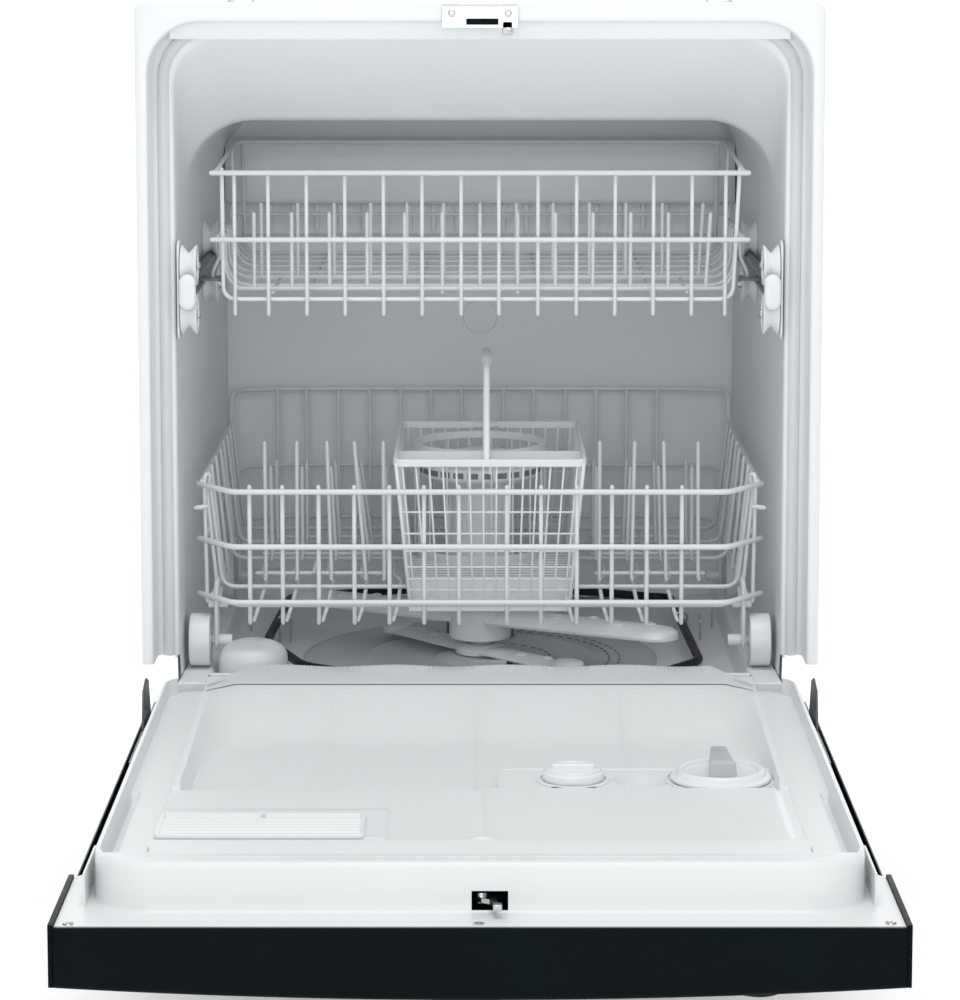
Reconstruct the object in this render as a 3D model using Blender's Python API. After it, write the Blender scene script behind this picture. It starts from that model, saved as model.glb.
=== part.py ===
"""Built-in dishwasher, standing on the floor with its door let down and both racks pushed in.

Units are metres. +X is to the right, +Y into the machine, +Z up. The origin is on the floor, midway
across, in the plane of the outer face that the door has when it is shut.
"""

import math

import bmesh
import bpy
from mathutils import Matrix, Vector

for old in list(bpy.data.objects):
    bpy.data.objects.remove(old, do_unlink=True)

# ---------------------------------------------------------------- driving dimensions
GAP = 0.0003  # kept between pieces that touch

HALF_WIDTH = 0.300  # tub's front frame
FRAME_TOP = 0.860
FRAME_FOOT = 0.275
FRONT = 0.048  # front face of the tub's frame
BACK = 0.608
RECESS = 0.088  # back of the step that the door's raised panel enters
RECESS_HALF = 0.289
RECESS_TOP = 0.843

INSIDE_HALF = 0.268  # tub's inside
INSIDE_TOP = 0.750
INSIDE_BACK = 0.584
SHELL_BACK = 0.590
FLOOR = 0.226
WALL = 0.004
HEADER_TOP = 0.826
SILL = 0.100
LEDGE = 0.2538  # top of the tracks that the lower rack rolls on
SILL_TOP = LEDGE - 0.0002
LEDGE_EDGE = 0.243
LEDGE_NOSE = 0.073  # front of the tracks, just clear of the shut door

HINGE = Vector((0.0, 0.030, 0.217))  # door's pivot line
DOOR_HALF = 0.299
DOOR_OUT = 0.187  # outer face while the door is down
DOOR_FLANGE = 0.2315  # liner's flange while the door is down
DOOR_HEEL = 0.060
DOOR_END = -0.608
CONSOLE_HALF = 0.303
CONSOLE_START = -0.476
CONSOLE_BOW = 0.009
LINER_HALF = 0.278
LINER_TOP = 0.268
LINER_END = -0.568
LINER_HEEL = 0.040
TRACK = 0.2535

HUB = Vector((0.0, 0.300, FLOOR))  # centre of the spray arms
RAIL_X = 0.258
RAIL_Z = 0.605
RAIL_HEIGHT = 0.021
ROLLER_Y = 0.095
ROLLER_GROOVE = 0.011
WHEEL_RADIUS = 0.0241
WHEEL_X = 0.255
WHEEL_Z = LEDGE + 0.0005 + WHEEL_RADIUS
WHEEL_YS = {"front": 0.143, "rear": 0.450}
FLOAT_X = -0.207
FLOAT_Y = 0.138
FLOAT_RADIUS = 0.0315
HEATER_FRONT = 0.130
HEATER_ENDS = (-0.120, -0.085)
BASKET_X = 0.009
WIRE = 0.0042
REAR_RISE = 0.031  # of the lower rack's top rail, towards the rear
SPRING_END = 0.360
SPRING_Z = 0.110
LEG_PLACES = {
    "front_left": (-0.262, 0.085), "front_right": (0.262, 0.085),
    "rear_left": (-0.262, 0.560), "rear_right": (0.262, 0.560),
}

PLATEAU = 0.262  # raised part of the liner between its recess and its far rim
VENT_LOW, VENT_HIGH = (-0.2335, -0.487), (-0.084, -0.424)
DISPENSER_LOW, DISPENSER_HIGH = (0.014, -0.3290), (0.2370, -0.2520)
RINSE_CAP = (0.0735, -0.2900)
DETERGENT_CUP = (0.1900, -0.2910)
LID_HINGE_Y = -0.2505
CAP_HINGE_Y = -0.2655

DIAL = (0.200, -0.545)
BUTTON_XS = (-0.230, -0.195, -0.160)
BUTTON_Y = -0.545
BUTTON_HALF = (0.0120, 0.0070)
HANDLE_SLOT = ((-0.0230, -0.5520), (0.0230, -0.5380))

SIDES = {"left": -1, "right": 1}


# ---------------------------------------------------------------- materials
def material(name, colour, roughness, metallic=0.0):
    made = bpy.data.materials.new(name)
    made.use_nodes = True
    shader = made.node_tree.nodes["Principled BSDF"]
    shader.inputs["Base Color"].default_value = (*colour, 1)
    shader.inputs["Roughness"].default_value = roughness
    shader.inputs["Metallic"].default_value = metallic
    return made


WHITE = material("white_moulding", (0.80, 0.82, 0.83), 0.35)
BLACK = material("black_enamel", (0.010, 0.016, 0.016), 0.30)
VINYL = material("vinyl_coated_wire", (0.72, 0.74, 0.76), 0.40)
STEEL = material("plated_steel", (0.55, 0.56, 0.58), 0.35, 1.0)
DARK_STEEL = material("dark_steel", (0.10, 0.11, 0.12), 0.45, 1.0)
HEATER = material("heater_sheath", (0.015, 0.016, 0.018), 0.50, 1.0)
SEAL = material("soft_grey_seal", (0.60, 0.62, 0.64), 0.60)
GREY = material("grey_moulding", (0.45, 0.47, 0.49), 0.50)
BASKET = material("basket_plastic", (0.82, 0.84, 0.85), 0.45)


# ---------------------------------------------------------------- shapes
def box(low, high):
    made = bmesh.new()
    bmesh.ops.create_cube(made, size=1)
    size = Vector(high) - Vector(low)
    middle = (Vector(high) + Vector(low)) / 2
    place = Matrix.Translation(middle) @ Matrix.Diagonal((*size, 1))
    bmesh.ops.transform(made, verts=made.verts, matrix=place)
    return made


def mirrored_box(side, low, high):
    """A box given for +X, on the side named by its sign."""
    if side > 0:
        return box(low, high)
    return box((-high[0], low[1], low[2]), (-low[0], high[1], high[2]))


def on_axis(axis, along, first, second):
    """A point from its place along one axis and its two others in X, Y, Z order."""
    if axis == "X":
        return along, first, second
    if axis == "Y":
        return first, along, second
    return first, second, along


def prism(outline, axis, start, end):
    """An outline in the plane across the axis, drawn out from start to end."""
    made = bmesh.new()
    verts = [made.verts.new(on_axis(axis, start, *point)) for point in outline]
    face = made.faces.new(verts)
    grown = bmesh.ops.extrude_face_region(made, geom=[face])["geom"]
    moved = [part for part in grown if isinstance(part, bmesh.types.BMVert)]
    bmesh.ops.translate(made, verts=moved, vec=Vector(on_axis(axis, end - start, 0, 0)))
    bmesh.ops.recalc_face_normals(made, faces=made.faces)
    return made


def arc(centre, radius, start, end, steps):
    """Points of an arc, with angles in degrees."""
    angles = [math.radians(start + (end - start) * step / steps) for step in range(steps + 1)]
    return [(centre[0] + radius * math.cos(a), centre[1] + radius * math.sin(a)) for a in angles]


def rounded(low, high, radii, steps=5):
    """A rectangle whose corners, anticlockwise from the lowest, have these radii."""
    corners = ((low[0], low[1], 180), (high[0], low[1], 270), (high[0], high[1], 0), (low[0], high[1], 90))
    points = []
    for (x, y, turn), radius in zip(corners, radii):
        if radius == 0:
            points.append((x, y))
            continue
        inward = (radius if x == low[0] else -radius, radius if y == low[1] else -radius)
        points += arc((x + inward[0], y + inward[1]), radius, turn, turn + 90, steps)
    return points


def disc(centre, radius, steps=24):
    return arc(centre, radius, 0, 360 * (steps - 1) / steps, steps - 1)


def turned(profile, centre, axis="Z", steps=24, ring=False):
    """A profile of (radius, height) turned about an axis. A ring's profile closes on itself."""
    made = bmesh.new()
    centre = Vector(centre)

    def point(radius, height, step):
        turn = 2 * math.pi * step / steps
        across = (radius * math.cos(turn), radius * math.sin(turn))
        return centre + Vector(on_axis(axis, height, *across))

    rows = []
    for radius, height in profile:
        if radius == 0:
            rows.append([made.verts.new(point(0, height, 0))] * steps)
        else:
            rows.append([made.verts.new(point(radius, height, step)) for step in range(steps)])
    pairs = list(zip(rows, rows[1:])) + ([(rows[-1], rows[0])] if ring else [])
    for lower, upper in pairs:
        for step in range(steps):
            after = (step + 1) % steps
            corners = list(dict.fromkeys((lower[step], lower[after], upper[after], upper[step])))
            if len(corners) > 2:
                made.faces.new(corners)
    bmesh.ops.recalc_face_normals(made, faces=made.faces)
    return made


def tube(points, radius, sides=8):
    """A round bar along a line of points."""
    made = bmesh.new()
    points = [Vector(point) for point in points]
    across = Vector((0, 0, 1)).cross(points[1] - points[0])
    across = across.normalized() if across.length > 1e-6 else Vector((1, 0, 0))
    rings = []
    for index, point in enumerate(points):
        ahead = points[min(index + 1, len(points) - 1)] - points[max(index - 1, 0)]
        ahead.normalize()
        across = (across - ahead * across.dot(ahead)).normalized()
        up = ahead.cross(across)
        turns = [2 * math.pi * step / sides for step in range(sides)]
        offsets = [radius * (math.cos(a) * across + math.sin(a) * up) for a in turns]
        rings.append([made.verts.new(point + offset) for offset in offsets])
    for first, second in zip(rings, rings[1:]):
        for step in range(sides):
            after = (step + 1) % sides
            made.faces.new((first[step], first[after], second[after], second[step]))
    made.faces.new(rings[0])
    made.faces.new(rings[-1])
    bmesh.ops.recalc_face_normals(made, faces=made.faces)
    return made


def rounded_path(corners, radius, steps=4):
    """A line through corners whose bends have this radius."""
    corners = [Vector(corner) for corner in corners]
    points = [corners[0]]
    for before, corner, after in zip(corners, corners[1:], corners[2:]):
        start = corner + (before - corner).normalized() * radius
        end = corner + (after - corner).normalized() * radius
        for step in range(steps + 1):
            share = step / steps
            points.append(start.lerp(corner, share).lerp(corner.lerp(end, share), share))
    return points + [corners[-1]]


def lattice(columns, rows, thickness, place, closed=False):
    """Crossing bars in one sheet. Columns and rows are (start, end, solid) spans that follow each other.

    place(u, v, w) gives a point of the sheet, w being the distance from its middle.
    """
    made = bmesh.new()
    across, up = len(columns), len(rows)
    us = [column[0] for column in columns] + ([] if closed else [columns[-1][1]])
    vs = [row[0] for row in rows] + [rows[-1][1]]
    used = {}

    def vert(column, row, layer):
        key = (column % len(us), row, layer)
        if key not in used:
            used[key] = made.verts.new(place(us[key[0]], vs[row], (layer - 0.5) * thickness))
        return used[key]

    def solid(column, row):
        if closed:
            column %= across
        inside = 0 <= column < across and 0 <= row < up
        return inside and (columns[column][2] or rows[row][2])

    for i in range(across):
        for j in range(up):
            if not solid(i, j):
                continue
            corners = ((i, j), (i + 1, j), (i + 1, j + 1), (i, j + 1))
            made.faces.new([vert(*corner, 1) for corner in corners])
            made.faces.new([vert(*corner, 0) for corner in reversed(corners)])
            beyond = ((i, j - 1), (i + 1, j), (i, j + 1), (i - 1, j))
            for (a, b), neighbour in zip(zip(corners, corners[1:] + corners[:1]), beyond):
                if not solid(*neighbour):
                    made.faces.new((vert(*b, 1), vert(*a, 1), vert(*a, 0), vert(*b, 0)))
    bmesh.ops.recalc_face_normals(made, faces=made.faces)
    return made


def spans(places, width, start, end, bends=()):
    """Bars of one width centred on these places, and the spaces between them, from start to end."""
    found, here = [], start
    for place in sorted(places):
        for bend in sorted(bends):
            if here < bend < place - width / 2:
                found.append((here, bend, False))
                here = bend
        if place - width / 2 > here:
            found.append((here, place - width / 2, False))
        found.append((place - width / 2, place + width / 2, True))
        here = place + width / 2
    for bend in sorted(bends):
        if here < bend < end:
            found.append((here, bend, False))
            here = bend
    if end > here:
        found.append((here, end, False))
    return found


def evenly(start, end, count):
    return [start + (end - start) * index / (count - 1) for index in range(count)]


# ---------------------------------------------------------------- objects
JOINT_FRAMES = {}


def joint_frame(name, place, parent=None):
    """An empty on a joint's axis, which the pieces that move there are parented to."""
    empty = bpy.data.objects.new(name, None)
    empty.empty_display_size = 0.03
    bpy.context.scene.collection.objects.link(empty)
    if parent:
        empty.parent = JOINT_FRAMES[parent]
        empty.location = Vector(place) - world_of(parent)
    else:
        empty.location = place
    JOINT_FRAMES[name] = empty


def world_of(name):
    found = Vector((0, 0, 0))
    empty = JOINT_FRAMES.get(name)
    while empty:
        found += empty.location
        empty = empty.parent
    return found


def link(name, shape, frame=None):
    """An object from a shape in world places, with its origin on its joint frame."""
    origin = world_of(frame)
    bmesh.ops.translate(shape, verts=shape.verts, vec=-origin)
    mesh = bpy.data.meshes.new(name)
    shape.to_mesh(mesh)
    shape.free()
    made = bpy.data.objects.new(name, mesh)
    bpy.context.scene.collection.objects.link(made)
    made.parent = JOINT_FRAMES.get(frame)
    return made


def guide(name, shape, frame=None):
    """A shape that is joined to a piece or cut from it, and isn't rendered itself."""
    made = link(name, shape, frame)
    made.hide_render = True
    made.display_type = "WIRE"
    return made


def boolean(made, operation, helper):
    step = made.modifiers.new(helper.name, "BOOLEAN")
    step.operation = operation
    step.object = helper


def piece(name, base, look, frame=None, steps=()):
    """One sub-part: a base shape, then shapes that are joined to it or cut from it in turn."""
    made = link(name, base, frame)
    made.data.materials.append(look)
    made.data.shade_smooth()
    made.data.set_sharp_from_angle(angle=math.radians(35))
    for number, (operation, shape) in enumerate(steps):
        boolean(made, operation, guide(f"{name}_{operation.lower()}_{number}", shape, frame))
    return made


def join(*shapes):
    return [("UNION", shape) for shape in shapes]


def cut(*shapes):
    return [("DIFFERENCE", shape) for shape in shapes]


# ---------------------------------------------------------------- cabinet
def tub():
    far = 0.6  # well past the sides
    shell = [
        (SILL, FLOOR - 0.010), (SHELL_BACK, FLOOR - 0.010), (SHELL_BACK, INSIDE_TOP + 0.016),
        (0.200, INSIDE_TOP + 0.016), (0.094, 0.846), (RECESS, 0.846), (RECESS, FRAME_FOOT), (SILL, FRAME_FOOT),
    ]
    cavity = [
        (SILL + WALL, FLOOR), (INSIDE_BACK, FLOOR), (INSIDE_BACK, INSIDE_TOP), (0.205, INSIDE_TOP),
        (0.094, HEADER_TOP), (0.030, HEADER_TOP), (0.030, SILL_TOP), (SILL + WALL, SILL_TOP),
    ]
    frame = prism(
        rounded((-HALF_WIDTH, FRAME_FOOT), (HALF_WIDTH, FRAME_TOP), (0, 0, 0.006, 0.006), 2), "Y", FRONT, 0.092
    )
    step_outline = rounded((-RECESS_HALF, FRAME_FOOT - 0.01), (RECESS_HALF, RECESS_TOP), (0, 0, 0.045, 0.045))
    step = prism(step_outline, "Y", 0.03, RECESS)
    tracks = [
        mirrored_box(side, (LEDGE_EDGE, SILL + 0.002, FLOOR - 0.006), (0.270, INSIDE_BACK + 0.003, LEDGE))
        for side in SIDES.values()
    ]
    noses = [
        mirrored_box(
            side, (LEDGE_EDGE + 0.0003, LEDGE_NOSE, LEDGE - 0.018), (0.2712, SILL + 0.020, LEDGE - 0.0001)
        )
        for side in SIDES.values()
    ]
    ribs = [
        mirrored_box(side, (0.145, SHELL_BACK - 0.002, 0.240), (0.175, BACK, 0.740))
        for side in SIDES.values()
    ]
    back_of_frame = [
        mirrored_box(side, (RECESS_HALF + 0.0035, FRONT + 0.0045, 0.2), (far, 0.2, 0.9))
        for side in SIDES.values()
    ]
    back_of_frame.append(box((-far, FRONT + 0.0045, 0.8465), (far, 0.2, 0.9)))
    holes = [
        turned([(0, -0.03), (0.085, -0.03), (0.085, 0.03), (0, 0.03)], HUB, steps=32),
        turned([(0, -0.03), (0.0065, -0.03), (0.0065, 0.03), (0, 0.03)], (FLOAT_X, FLOAT_Y, FLOOR), steps=12),
    ]
    for x in HEATER_ENDS:
        place = (x, HEATER_FRONT, FLOOR)
        holes.append(turned([(0, -0.03), (0.006, -0.03), (0.006, 0.03), (0, 0.03)], place, steps=12))
    bulge = box((-0.270, 0.556, 0.642), (0.270, SHELL_BACK - 0.003, 0.706))
    piece(
        "tub", prism(shell, "X", -INSIDE_HALF - WALL, INSIDE_HALF + WALL), WHITE,
        steps=join(frame) + cut(prism(cavity, "X", -INSIDE_HALF, INSIDE_HALF), step, *back_of_frame)
        + join(bulge, *tracks, *noses, *ribs) + cut(*holes),
    )


def gasket():
    outer = rounded((-0.286, FRAME_FOOT), (0.286, 0.840), (0, 0, 0.042, 0.042))
    inner = rounded((-0.272, FRAME_FOOT), (0.272, 0.829), (0, 0, 0.036, 0.036))
    ring = outer[1:] + outer[:1] + inner[:1] + inner[:0:-1]
    piece("door_gasket", prism(ring, "Y", RECESS - GAP - 0.005, RECESS - GAP), SEAL)


def base_frame():
    sheet = 0.002
    outside = 0.287
    side_outline = [
        (0.010, 0.100), (0.062, 0.100), (0.062, 0.030), (0.588, 0.030), (0.588, FLOOR - 0.010 - GAP),
        (SILL, FLOOR - 0.010 - GAP), (0.062, 0.200), (0.062, 0.168), (0.010, 0.168),
    ]
    shapes = []
    for side in SIDES.values():
        shapes.append(prism(side_outline, "X", *sorted((side * outside, side * (outside - sheet)))))
        top = FLOOR - 0.010 - GAP
        shapes.append(mirrored_box(side, (0.262, SILL + 0.002, top - sheet), (outside - 0.001, 0.587, top)))
        shapes.append(mirrored_box(side, (0.240, 0.063, 0.030), (outside - 0.001, 0.587, 0.032)))
        shapes.append(mirrored_box(side, (0.270, 0.010, 0.101), (outside - 0.001, 0.012, 0.167)))
        hook = SPRING_END + GAP
        low, high = SPRING_Z - 0.010, SPRING_Z + 0.010
        shapes.append(mirrored_box(side, (outside - 0.001, hook, low), (0.298, hook + 0.002, high)))
    front = box((-outside + 0.001, 0.064, 0.031), (outside - 0.001, 0.066, 0.075))
    rear = box((-outside + 0.001, 0.5855, 0.031), (outside - 0.001, 0.5875, 0.214))
    holes = [
        turned([(0, -0.01), (0.0048, -0.01), (0.0048, 0.01), (0, 0.01)], (x, y, 0.031), steps=12)
        for x, y in LEG_PLACES.values()
    ]
    piece("base_frame", front, DARK_STEEL, steps=join(shapes[0], rear, *shapes[1:]) + cut(*holes))


def levelling_legs():
    profile = [
        (0, 0), (0.015, 0), (0.017, 0.003), (0.017, 0.006), (0.009, 0.008), (0.009, 0.014),
        (0.0044, 0.0145), (0.0044, 0.075), (0, 0.075),
    ]
    for place, (x, y) in LEG_PLACES.items():
        joint_frame(f"leg_{place}_axis", (x, y, 0))
        piece(f"leg_{place}", turned(profile, (x, y, 0), steps=12), STEEL, f"leg_{place}_axis")


def kick_panels():
    panel = box((-0.298, 0.006, 0.095), (0.298, 0.0095, 0.170))
    inner = box((-0.2965, 0.0075, 0.0965), (0.2965, 0.02, 0.1685))
    piece("access_panel", panel, BLACK, steps=cut(inner))
    piece("toe_kick", box((-0.292, 0.058, 0.012), (0.292, 0.0605, 0.0935)), BLACK)


def float_switch():
    joint_frame("float_axis", (FLOAT_X, FLOAT_Y, FLOOR))
    foot = 0.0105
    profile = [
        (0, -0.020), (0.006, -0.020), (0.006, foot), (FLOAT_RADIUS - 0.002, foot), (FLOAT_RADIUS, foot + 0.002),
        (FLOAT_RADIUS, 0.040), (0.028, 0.048), (0.020, 0.0525), (0, 0.054),
    ]
    piece("float", turned(profile, (FLOAT_X, FLOAT_Y, FLOOR), steps=24), WHITE, "float_axis")


def heater():
    z = 0.250
    back_arc = [(x, 0.530 - 0.055 * (x / 0.19) ** 2, z) for x in evenly(-0.17, 0.17, 9)]
    first, last = HEATER_ENDS
    front = HEATER_FRONT
    corners = [
        (first, front, 0.195), (first, front, z), (-0.162, 0.158, z), (-0.203, 0.270, z), (-0.192, 0.480, z),
        *back_arc, (0.192, 0.480, z), (0.204, 0.180, z), (0.165, front, z), (last, front, z),
        (last, front, 0.195),
    ]
    piece("heater_element", tube(rounded_path(corners, 0.010, 2), 0.0043, 6), HEATER)


def wash_system():
    height = FLOOR
    sump = [
        (0, 0.120 - height), (0.062, 0.120 - height), (0.078, 0.140 - height), (0.0845, 0.215 - height),
        (0.0845, GAP), (0.170, GAP), (0.170, 0.0025), (0.036, 0.0035), (0.030, 0.0055), (0.011, 0.0055),
        (0.011, 0.0600), (0, 0.0600),
    ]
    piece("sump_housing", turned(sump, HUB, steps=32), GREY)
    motor = [
        (0, 0.036), (0.040, 0.036), (0.052, 0.042), (0.052, 0.100), (0.044, 0.108), (0.044, 0.1196), (0, 0.1196),
    ]
    piece("wash_motor", turned(motor, (HUB.x, HUB.y, 0), steps=20), DARK_STEEL)


def spray_arm(name, reach, width, tip_width, low, high, turn, hub_radius, hub_foot):
    """A two-ended arm on the hub, its ends rounded, turned anticlockwise by an angle in degrees."""
    joint_frame(f"{name}_axis", (HUB.x, HUB.y, low))
    outline = []
    for end in (0, 180):
        tip = tip_width / 2
        ends = arc((reach - tip, 0), tip, -90, 90, 6)
        flank = [(0.030, -width / 2)] + ends + [(0.030, width / 2)]
        spin = Matrix.Rotation(math.radians(end), 2)
        outline += [tuple(spin @ Vector(point)) for point in flank]
    spin = Matrix.Rotation(math.radians(turn), 2)
    outline = [tuple(spin @ Vector(point) + HUB.xy) for point in outline]
    hub_profile = [(0, hub_foot), (hub_radius, hub_foot), (hub_radius, low + 0.001), (0, low + 0.001)]
    hub = turned(hub_profile, HUB.xy.to_3d())
    bore = turned([(0, 0), (0.0115, 0), (0.0115, 1), (0, 1)], HUB.xy.to_3d(), steps=16)
    piece(name, prism(outline, "Z", low, high), WHITE, f"{name}_axis", join(hub) + cut(bore))


def plumbing_and_wiring():
    valve = box((-0.215, 0.090, 0.050), (-0.150, 0.140, 0.095))
    valve_neck = turned([(0, 0), (0.012, 0), (0.012, 0.030), (0, 0.030)], (-0.182, 0.115, 0.090), steps=12)
    coil_profile = [(0, 0), (0.017, 0), (0.017, 0.034), (0, 0.034)]
    valve_coil = turned(coil_profile, (-0.155, 0.115, 0.072), axis="X", steps=12)
    piece("inlet_valve", valve, GREY, steps=join(valve_neck, valve_coil))
    body = box((0.140, 0.080, 0.040), (0.225, 0.135, 0.105))
    piece("junction_box", body, STEEL, steps=cut(box((0.142, 0.09, 0.042), (0.223, 0.150, 0.103))))


def strike():
    plate = box((-0.033, FRONT - GAP - 0.0025, 0.838), (0.033, FRONT - GAP, 0.858))
    slot = box((-0.012, 0.0, 0.8405), (0.016, 0.1, 0.8465))
    keeper = box((0.018, FRONT - GAP - 0.0020, 0.830), (0.030, FRONT - GAP - 0.0004, 0.845))
    piece("strike_plate", plate, STEEL, steps=join(keeper) + cut(slot))


def counter_brackets():
    for name, side in SIDES.items():
        top = FRAME_TOP + GAP
        strap = mirrored_box(side, (0.195, FRONT + 0.002, top), (0.219, 0.112, top + 0.0016))
        hole_profile = [(0, -0.01), (0.003, -0.01), (0.003, 0.01), (0, 0.01)]
        hole = turned(hole_profile, (side * 0.207, 0.098, top), steps=10)
        piece(f"counter_bracket_{name}", strap, STEEL, steps=cut(hole))


def hinge_brackets():
    outline = [(0.018, 0.205), (0.058, 0.205), (0.066, 0.172), (0.098, 0.172), (0.098, 0.229), (0.018, 0.229)]
    for name, side in SIDES.items():
        plate = prism(outline, "X", *sorted((side * (0.287 + GAP), side * 0.2905)))
        pin = turned(
            [(0, 0.2885), (0.004, 0.2885), (0.004, 0.2963), (0, 0.2963)] if side > 0
            else [(0, -0.2963), (0.004, -0.2963), (0.004, -0.2885), (0, -0.2885)],
            (0, HINGE.y, HINGE.z), axis="X", steps=12,
        )
        piece(f"hinge_bracket_{name}", plate, DARK_STEEL, steps=join(pin))


def door_springs():
    front, coils = 0.175, 12
    pitch = (SPRING_END - front) / coils
    profile = [(0, front)]
    for coil in range(coils):
        middle = front + pitch * (coil + 0.5)
        profile += [(0.0036, middle - 0.35 * pitch), (0.0052, middle)]
    profile += [(0.0036, SPRING_END - 0.001), (0, SPRING_END)]
    for name, side in SIDES.items():
        place = (side * 0.2936, 0, SPRING_Z)
        piece(f"door_spring_{name}", turned(profile, place, "Y", 8), STEEL)


def rack_rollers():
    half = 0.0072
    groove = 0.0045
    profile = [
        (0.0034, -half), (0.018, -half), (0.018, -half + 0.001), (ROLLER_GROOVE, -groove),
        (ROLLER_GROOVE, groove), (0.018, half - 0.001), (0.018, half), (0.0034, half),
    ]
    spacing = RAIL_HEIGHT / 2 + ROLLER_GROOVE + GAP
    for name, side in SIDES.items():
        inner, outer = 0.2520, INSIDE_HALF - GAP
        plate = mirrored_box(side, (0.2657, 0.080, 0.560), (outer, 0.110, 0.650))
        studs = []
        for level, up in (("upper", 1), ("lower", -1)):
            centre = (side * RAIL_X, ROLLER_Y, RAIL_Z + up * spacing)
            frame = f"roller_{level}_{name}_axis"
            joint_frame(frame, centre)
            piece(f"roller_{level}_{name}", turned(profile, centre, "X", 16, ring=True), WHITE, frame)
            span = sorted((side * inner - centre[0], side * 0.2665 - centre[0]))
            stud = [(0, span[0]), (0.0030, span[0]), (0.0030, span[1]), (0, span[1])]
            studs.append(turned(stud, centre, "X", 10))
        piece(f"roller_bracket_{name}", plate, WHITE, steps=join(*studs))


# ---------------------------------------------------------------- door
def door_panel():
    sheet = 0.002
    outer = box((-DOOR_HALF, CONSOLE_START + 0.002, DOOR_OUT), (DOOR_HALF, DOOR_HEEL, DOOR_FLANGE - 0.0025))
    inner = box(
        (-DOOR_HALF + sheet, CONSOLE_START - 0.1, DOOR_OUT + sheet), (DOOR_HALF - sheet, DOOR_HEEL - sheet, 0.3)
    )
    notches = [
        mirrored_box(side, (0.285, DOOR_HEEL - 0.010, DOOR_OUT + sheet), (DOOR_HALF - sheet, 0.1, 0.3))
        for side in SIDES.values()
    ]
    piece("door_panel", outer, BLACK, "door_axis", cut(inner, *notches))


def door_liner():
    foot = DOOR_FLANGE - 0.002
    raised = prism(
        rounded((-LINER_HALF, LINER_END), (LINER_HALF, LINER_HEEL), (0.045, 0.045, 0.030, 0.030)),
        "Z", foot, LINER_TOP,
    )
    half, wide, notch = 0.2925, 0.2990, 0.2850
    flange = prism(
        [
            (-wide, -0.6033), (wide, -0.6033), (wide, -0.478), (half, -0.470), (half, 0.002), (notch, 0.002),
            (notch, 0.0575), (-notch, 0.0575), (-notch, 0.002), (-half, 0.002), (-half, -0.470),
            (-wide, -0.478),
        ],
        "Z", foot, DOOR_FLANGE,
    )
    recess = [
        (0.008, 0.30), (0.008, LINER_TOP - 0.0005), (-0.130, TRACK), (-0.330, TRACK), (-0.334, PLATEAU),
        (-0.530, PLATEAU), (-0.540, LINER_TOP - 0.0005), (-0.540, 0.30),
    ]
    hollow = prism(
        rounded((-0.274, LINER_END + 0.004), (0.274, LINER_HEEL - 0.004), (0.041, 0.041, 0.026, 0.026)),
        "Z", 0.2, TRACK - 0.003,
    )
    tracks = [
        mirrored_box(side, (0.2385, LINER_END + 0.028, TRACK), (0.2725, 0.1, 0.3)) for side in SIDES.values()
    ]
    cuts = [
        prism(recess, "X", -0.2390, 0.2390),
        hollow,
        box((-0.234, -0.526, 0.24), (0.234, -0.338, PLATEAU - 0.003)),
        box((DISPENSER_LOW[0] + 0.004, DISPENSER_LOW[1] + 0.004, 0.2),
            (DISPENSER_HIGH[0] - 0.004, DISPENSER_HIGH[1] - 0.004, 0.3)),
        box((-0.0060, LINER_END - 0.01, 0.2330), (0.0200, LINER_END + 0.01, 0.2470)),
        box((VENT_LOW[0] + 0.008, VENT_LOW[1] + 0.008, 0.2), (VENT_HIGH[0] - 0.008, VENT_HIGH[1] - 0.008, 0.3)),
    ]
    piece("door_liner", raised, WHITE, "door_axis", cut(*tracks, *cuts[:1]) + join(flange) + cut(*cuts[1:]))


def vent_grille():
    columns = spans([VENT_LOW[0] + 0.003, VENT_HIGH[0] - 0.003], 0.006, VENT_LOW[0], VENT_HIGH[0])
    rows = spans(evenly(VENT_LOW[1] + 0.003, VENT_HIGH[1] - 0.003, 7), 0.0055, VENT_LOW[1], VENT_HIGH[1])
    low = PLATEAU + GAP
    shape = lattice(columns, rows, 0.005, lambda u, v, w: (u, v, low + 0.0025 + w))
    piece("vent_grille", shape, WHITE, "door_axis")


def splash_seal():
    outline = [
        (-0.236, 0.012), (0.236, 0.012), (0.236, 0.040), (0.217, 0.069), (-0.217, 0.069), (-0.236, 0.040),
    ]
    piece("splash_seal", prism(outline, "Z", LINER_TOP + GAP, LINER_TOP + 0.0020), SEAL, "door_axis")


def hinge_arms():
    outline = [
        (-0.120, 0.192), (0.036, 0.192), (0.050, 0.2065), (0.112, 0.2065), (0.112, 0.2275), (0.062, 0.2275),
        (0.045, 0.262), (0.030, 0.2675), (0.004, 0.262), (-0.006, 0.2285), (-0.120, 0.2285),
    ]
    for name, side in SIDES.items():
        plate = prism(outline, "X", *sorted((side * 0.2935, side * 0.2955)))
        bore = turned([(0, -1), (0.0043, -1), (0.0043, 1), (0, 1)], (0, HINGE.y, HINGE.z), "X", 12)
        piece(f"hinge_arm_{name}", plate, DARK_STEEL, "door_axis", cut(bore))


def face_height(x):
    """Outer face of the console, which bows outwards towards its middle."""
    return DOOR_OUT - CONSOLE_BOW * (1 - (x / CONSOLE_HALF) ** 2)


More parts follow.
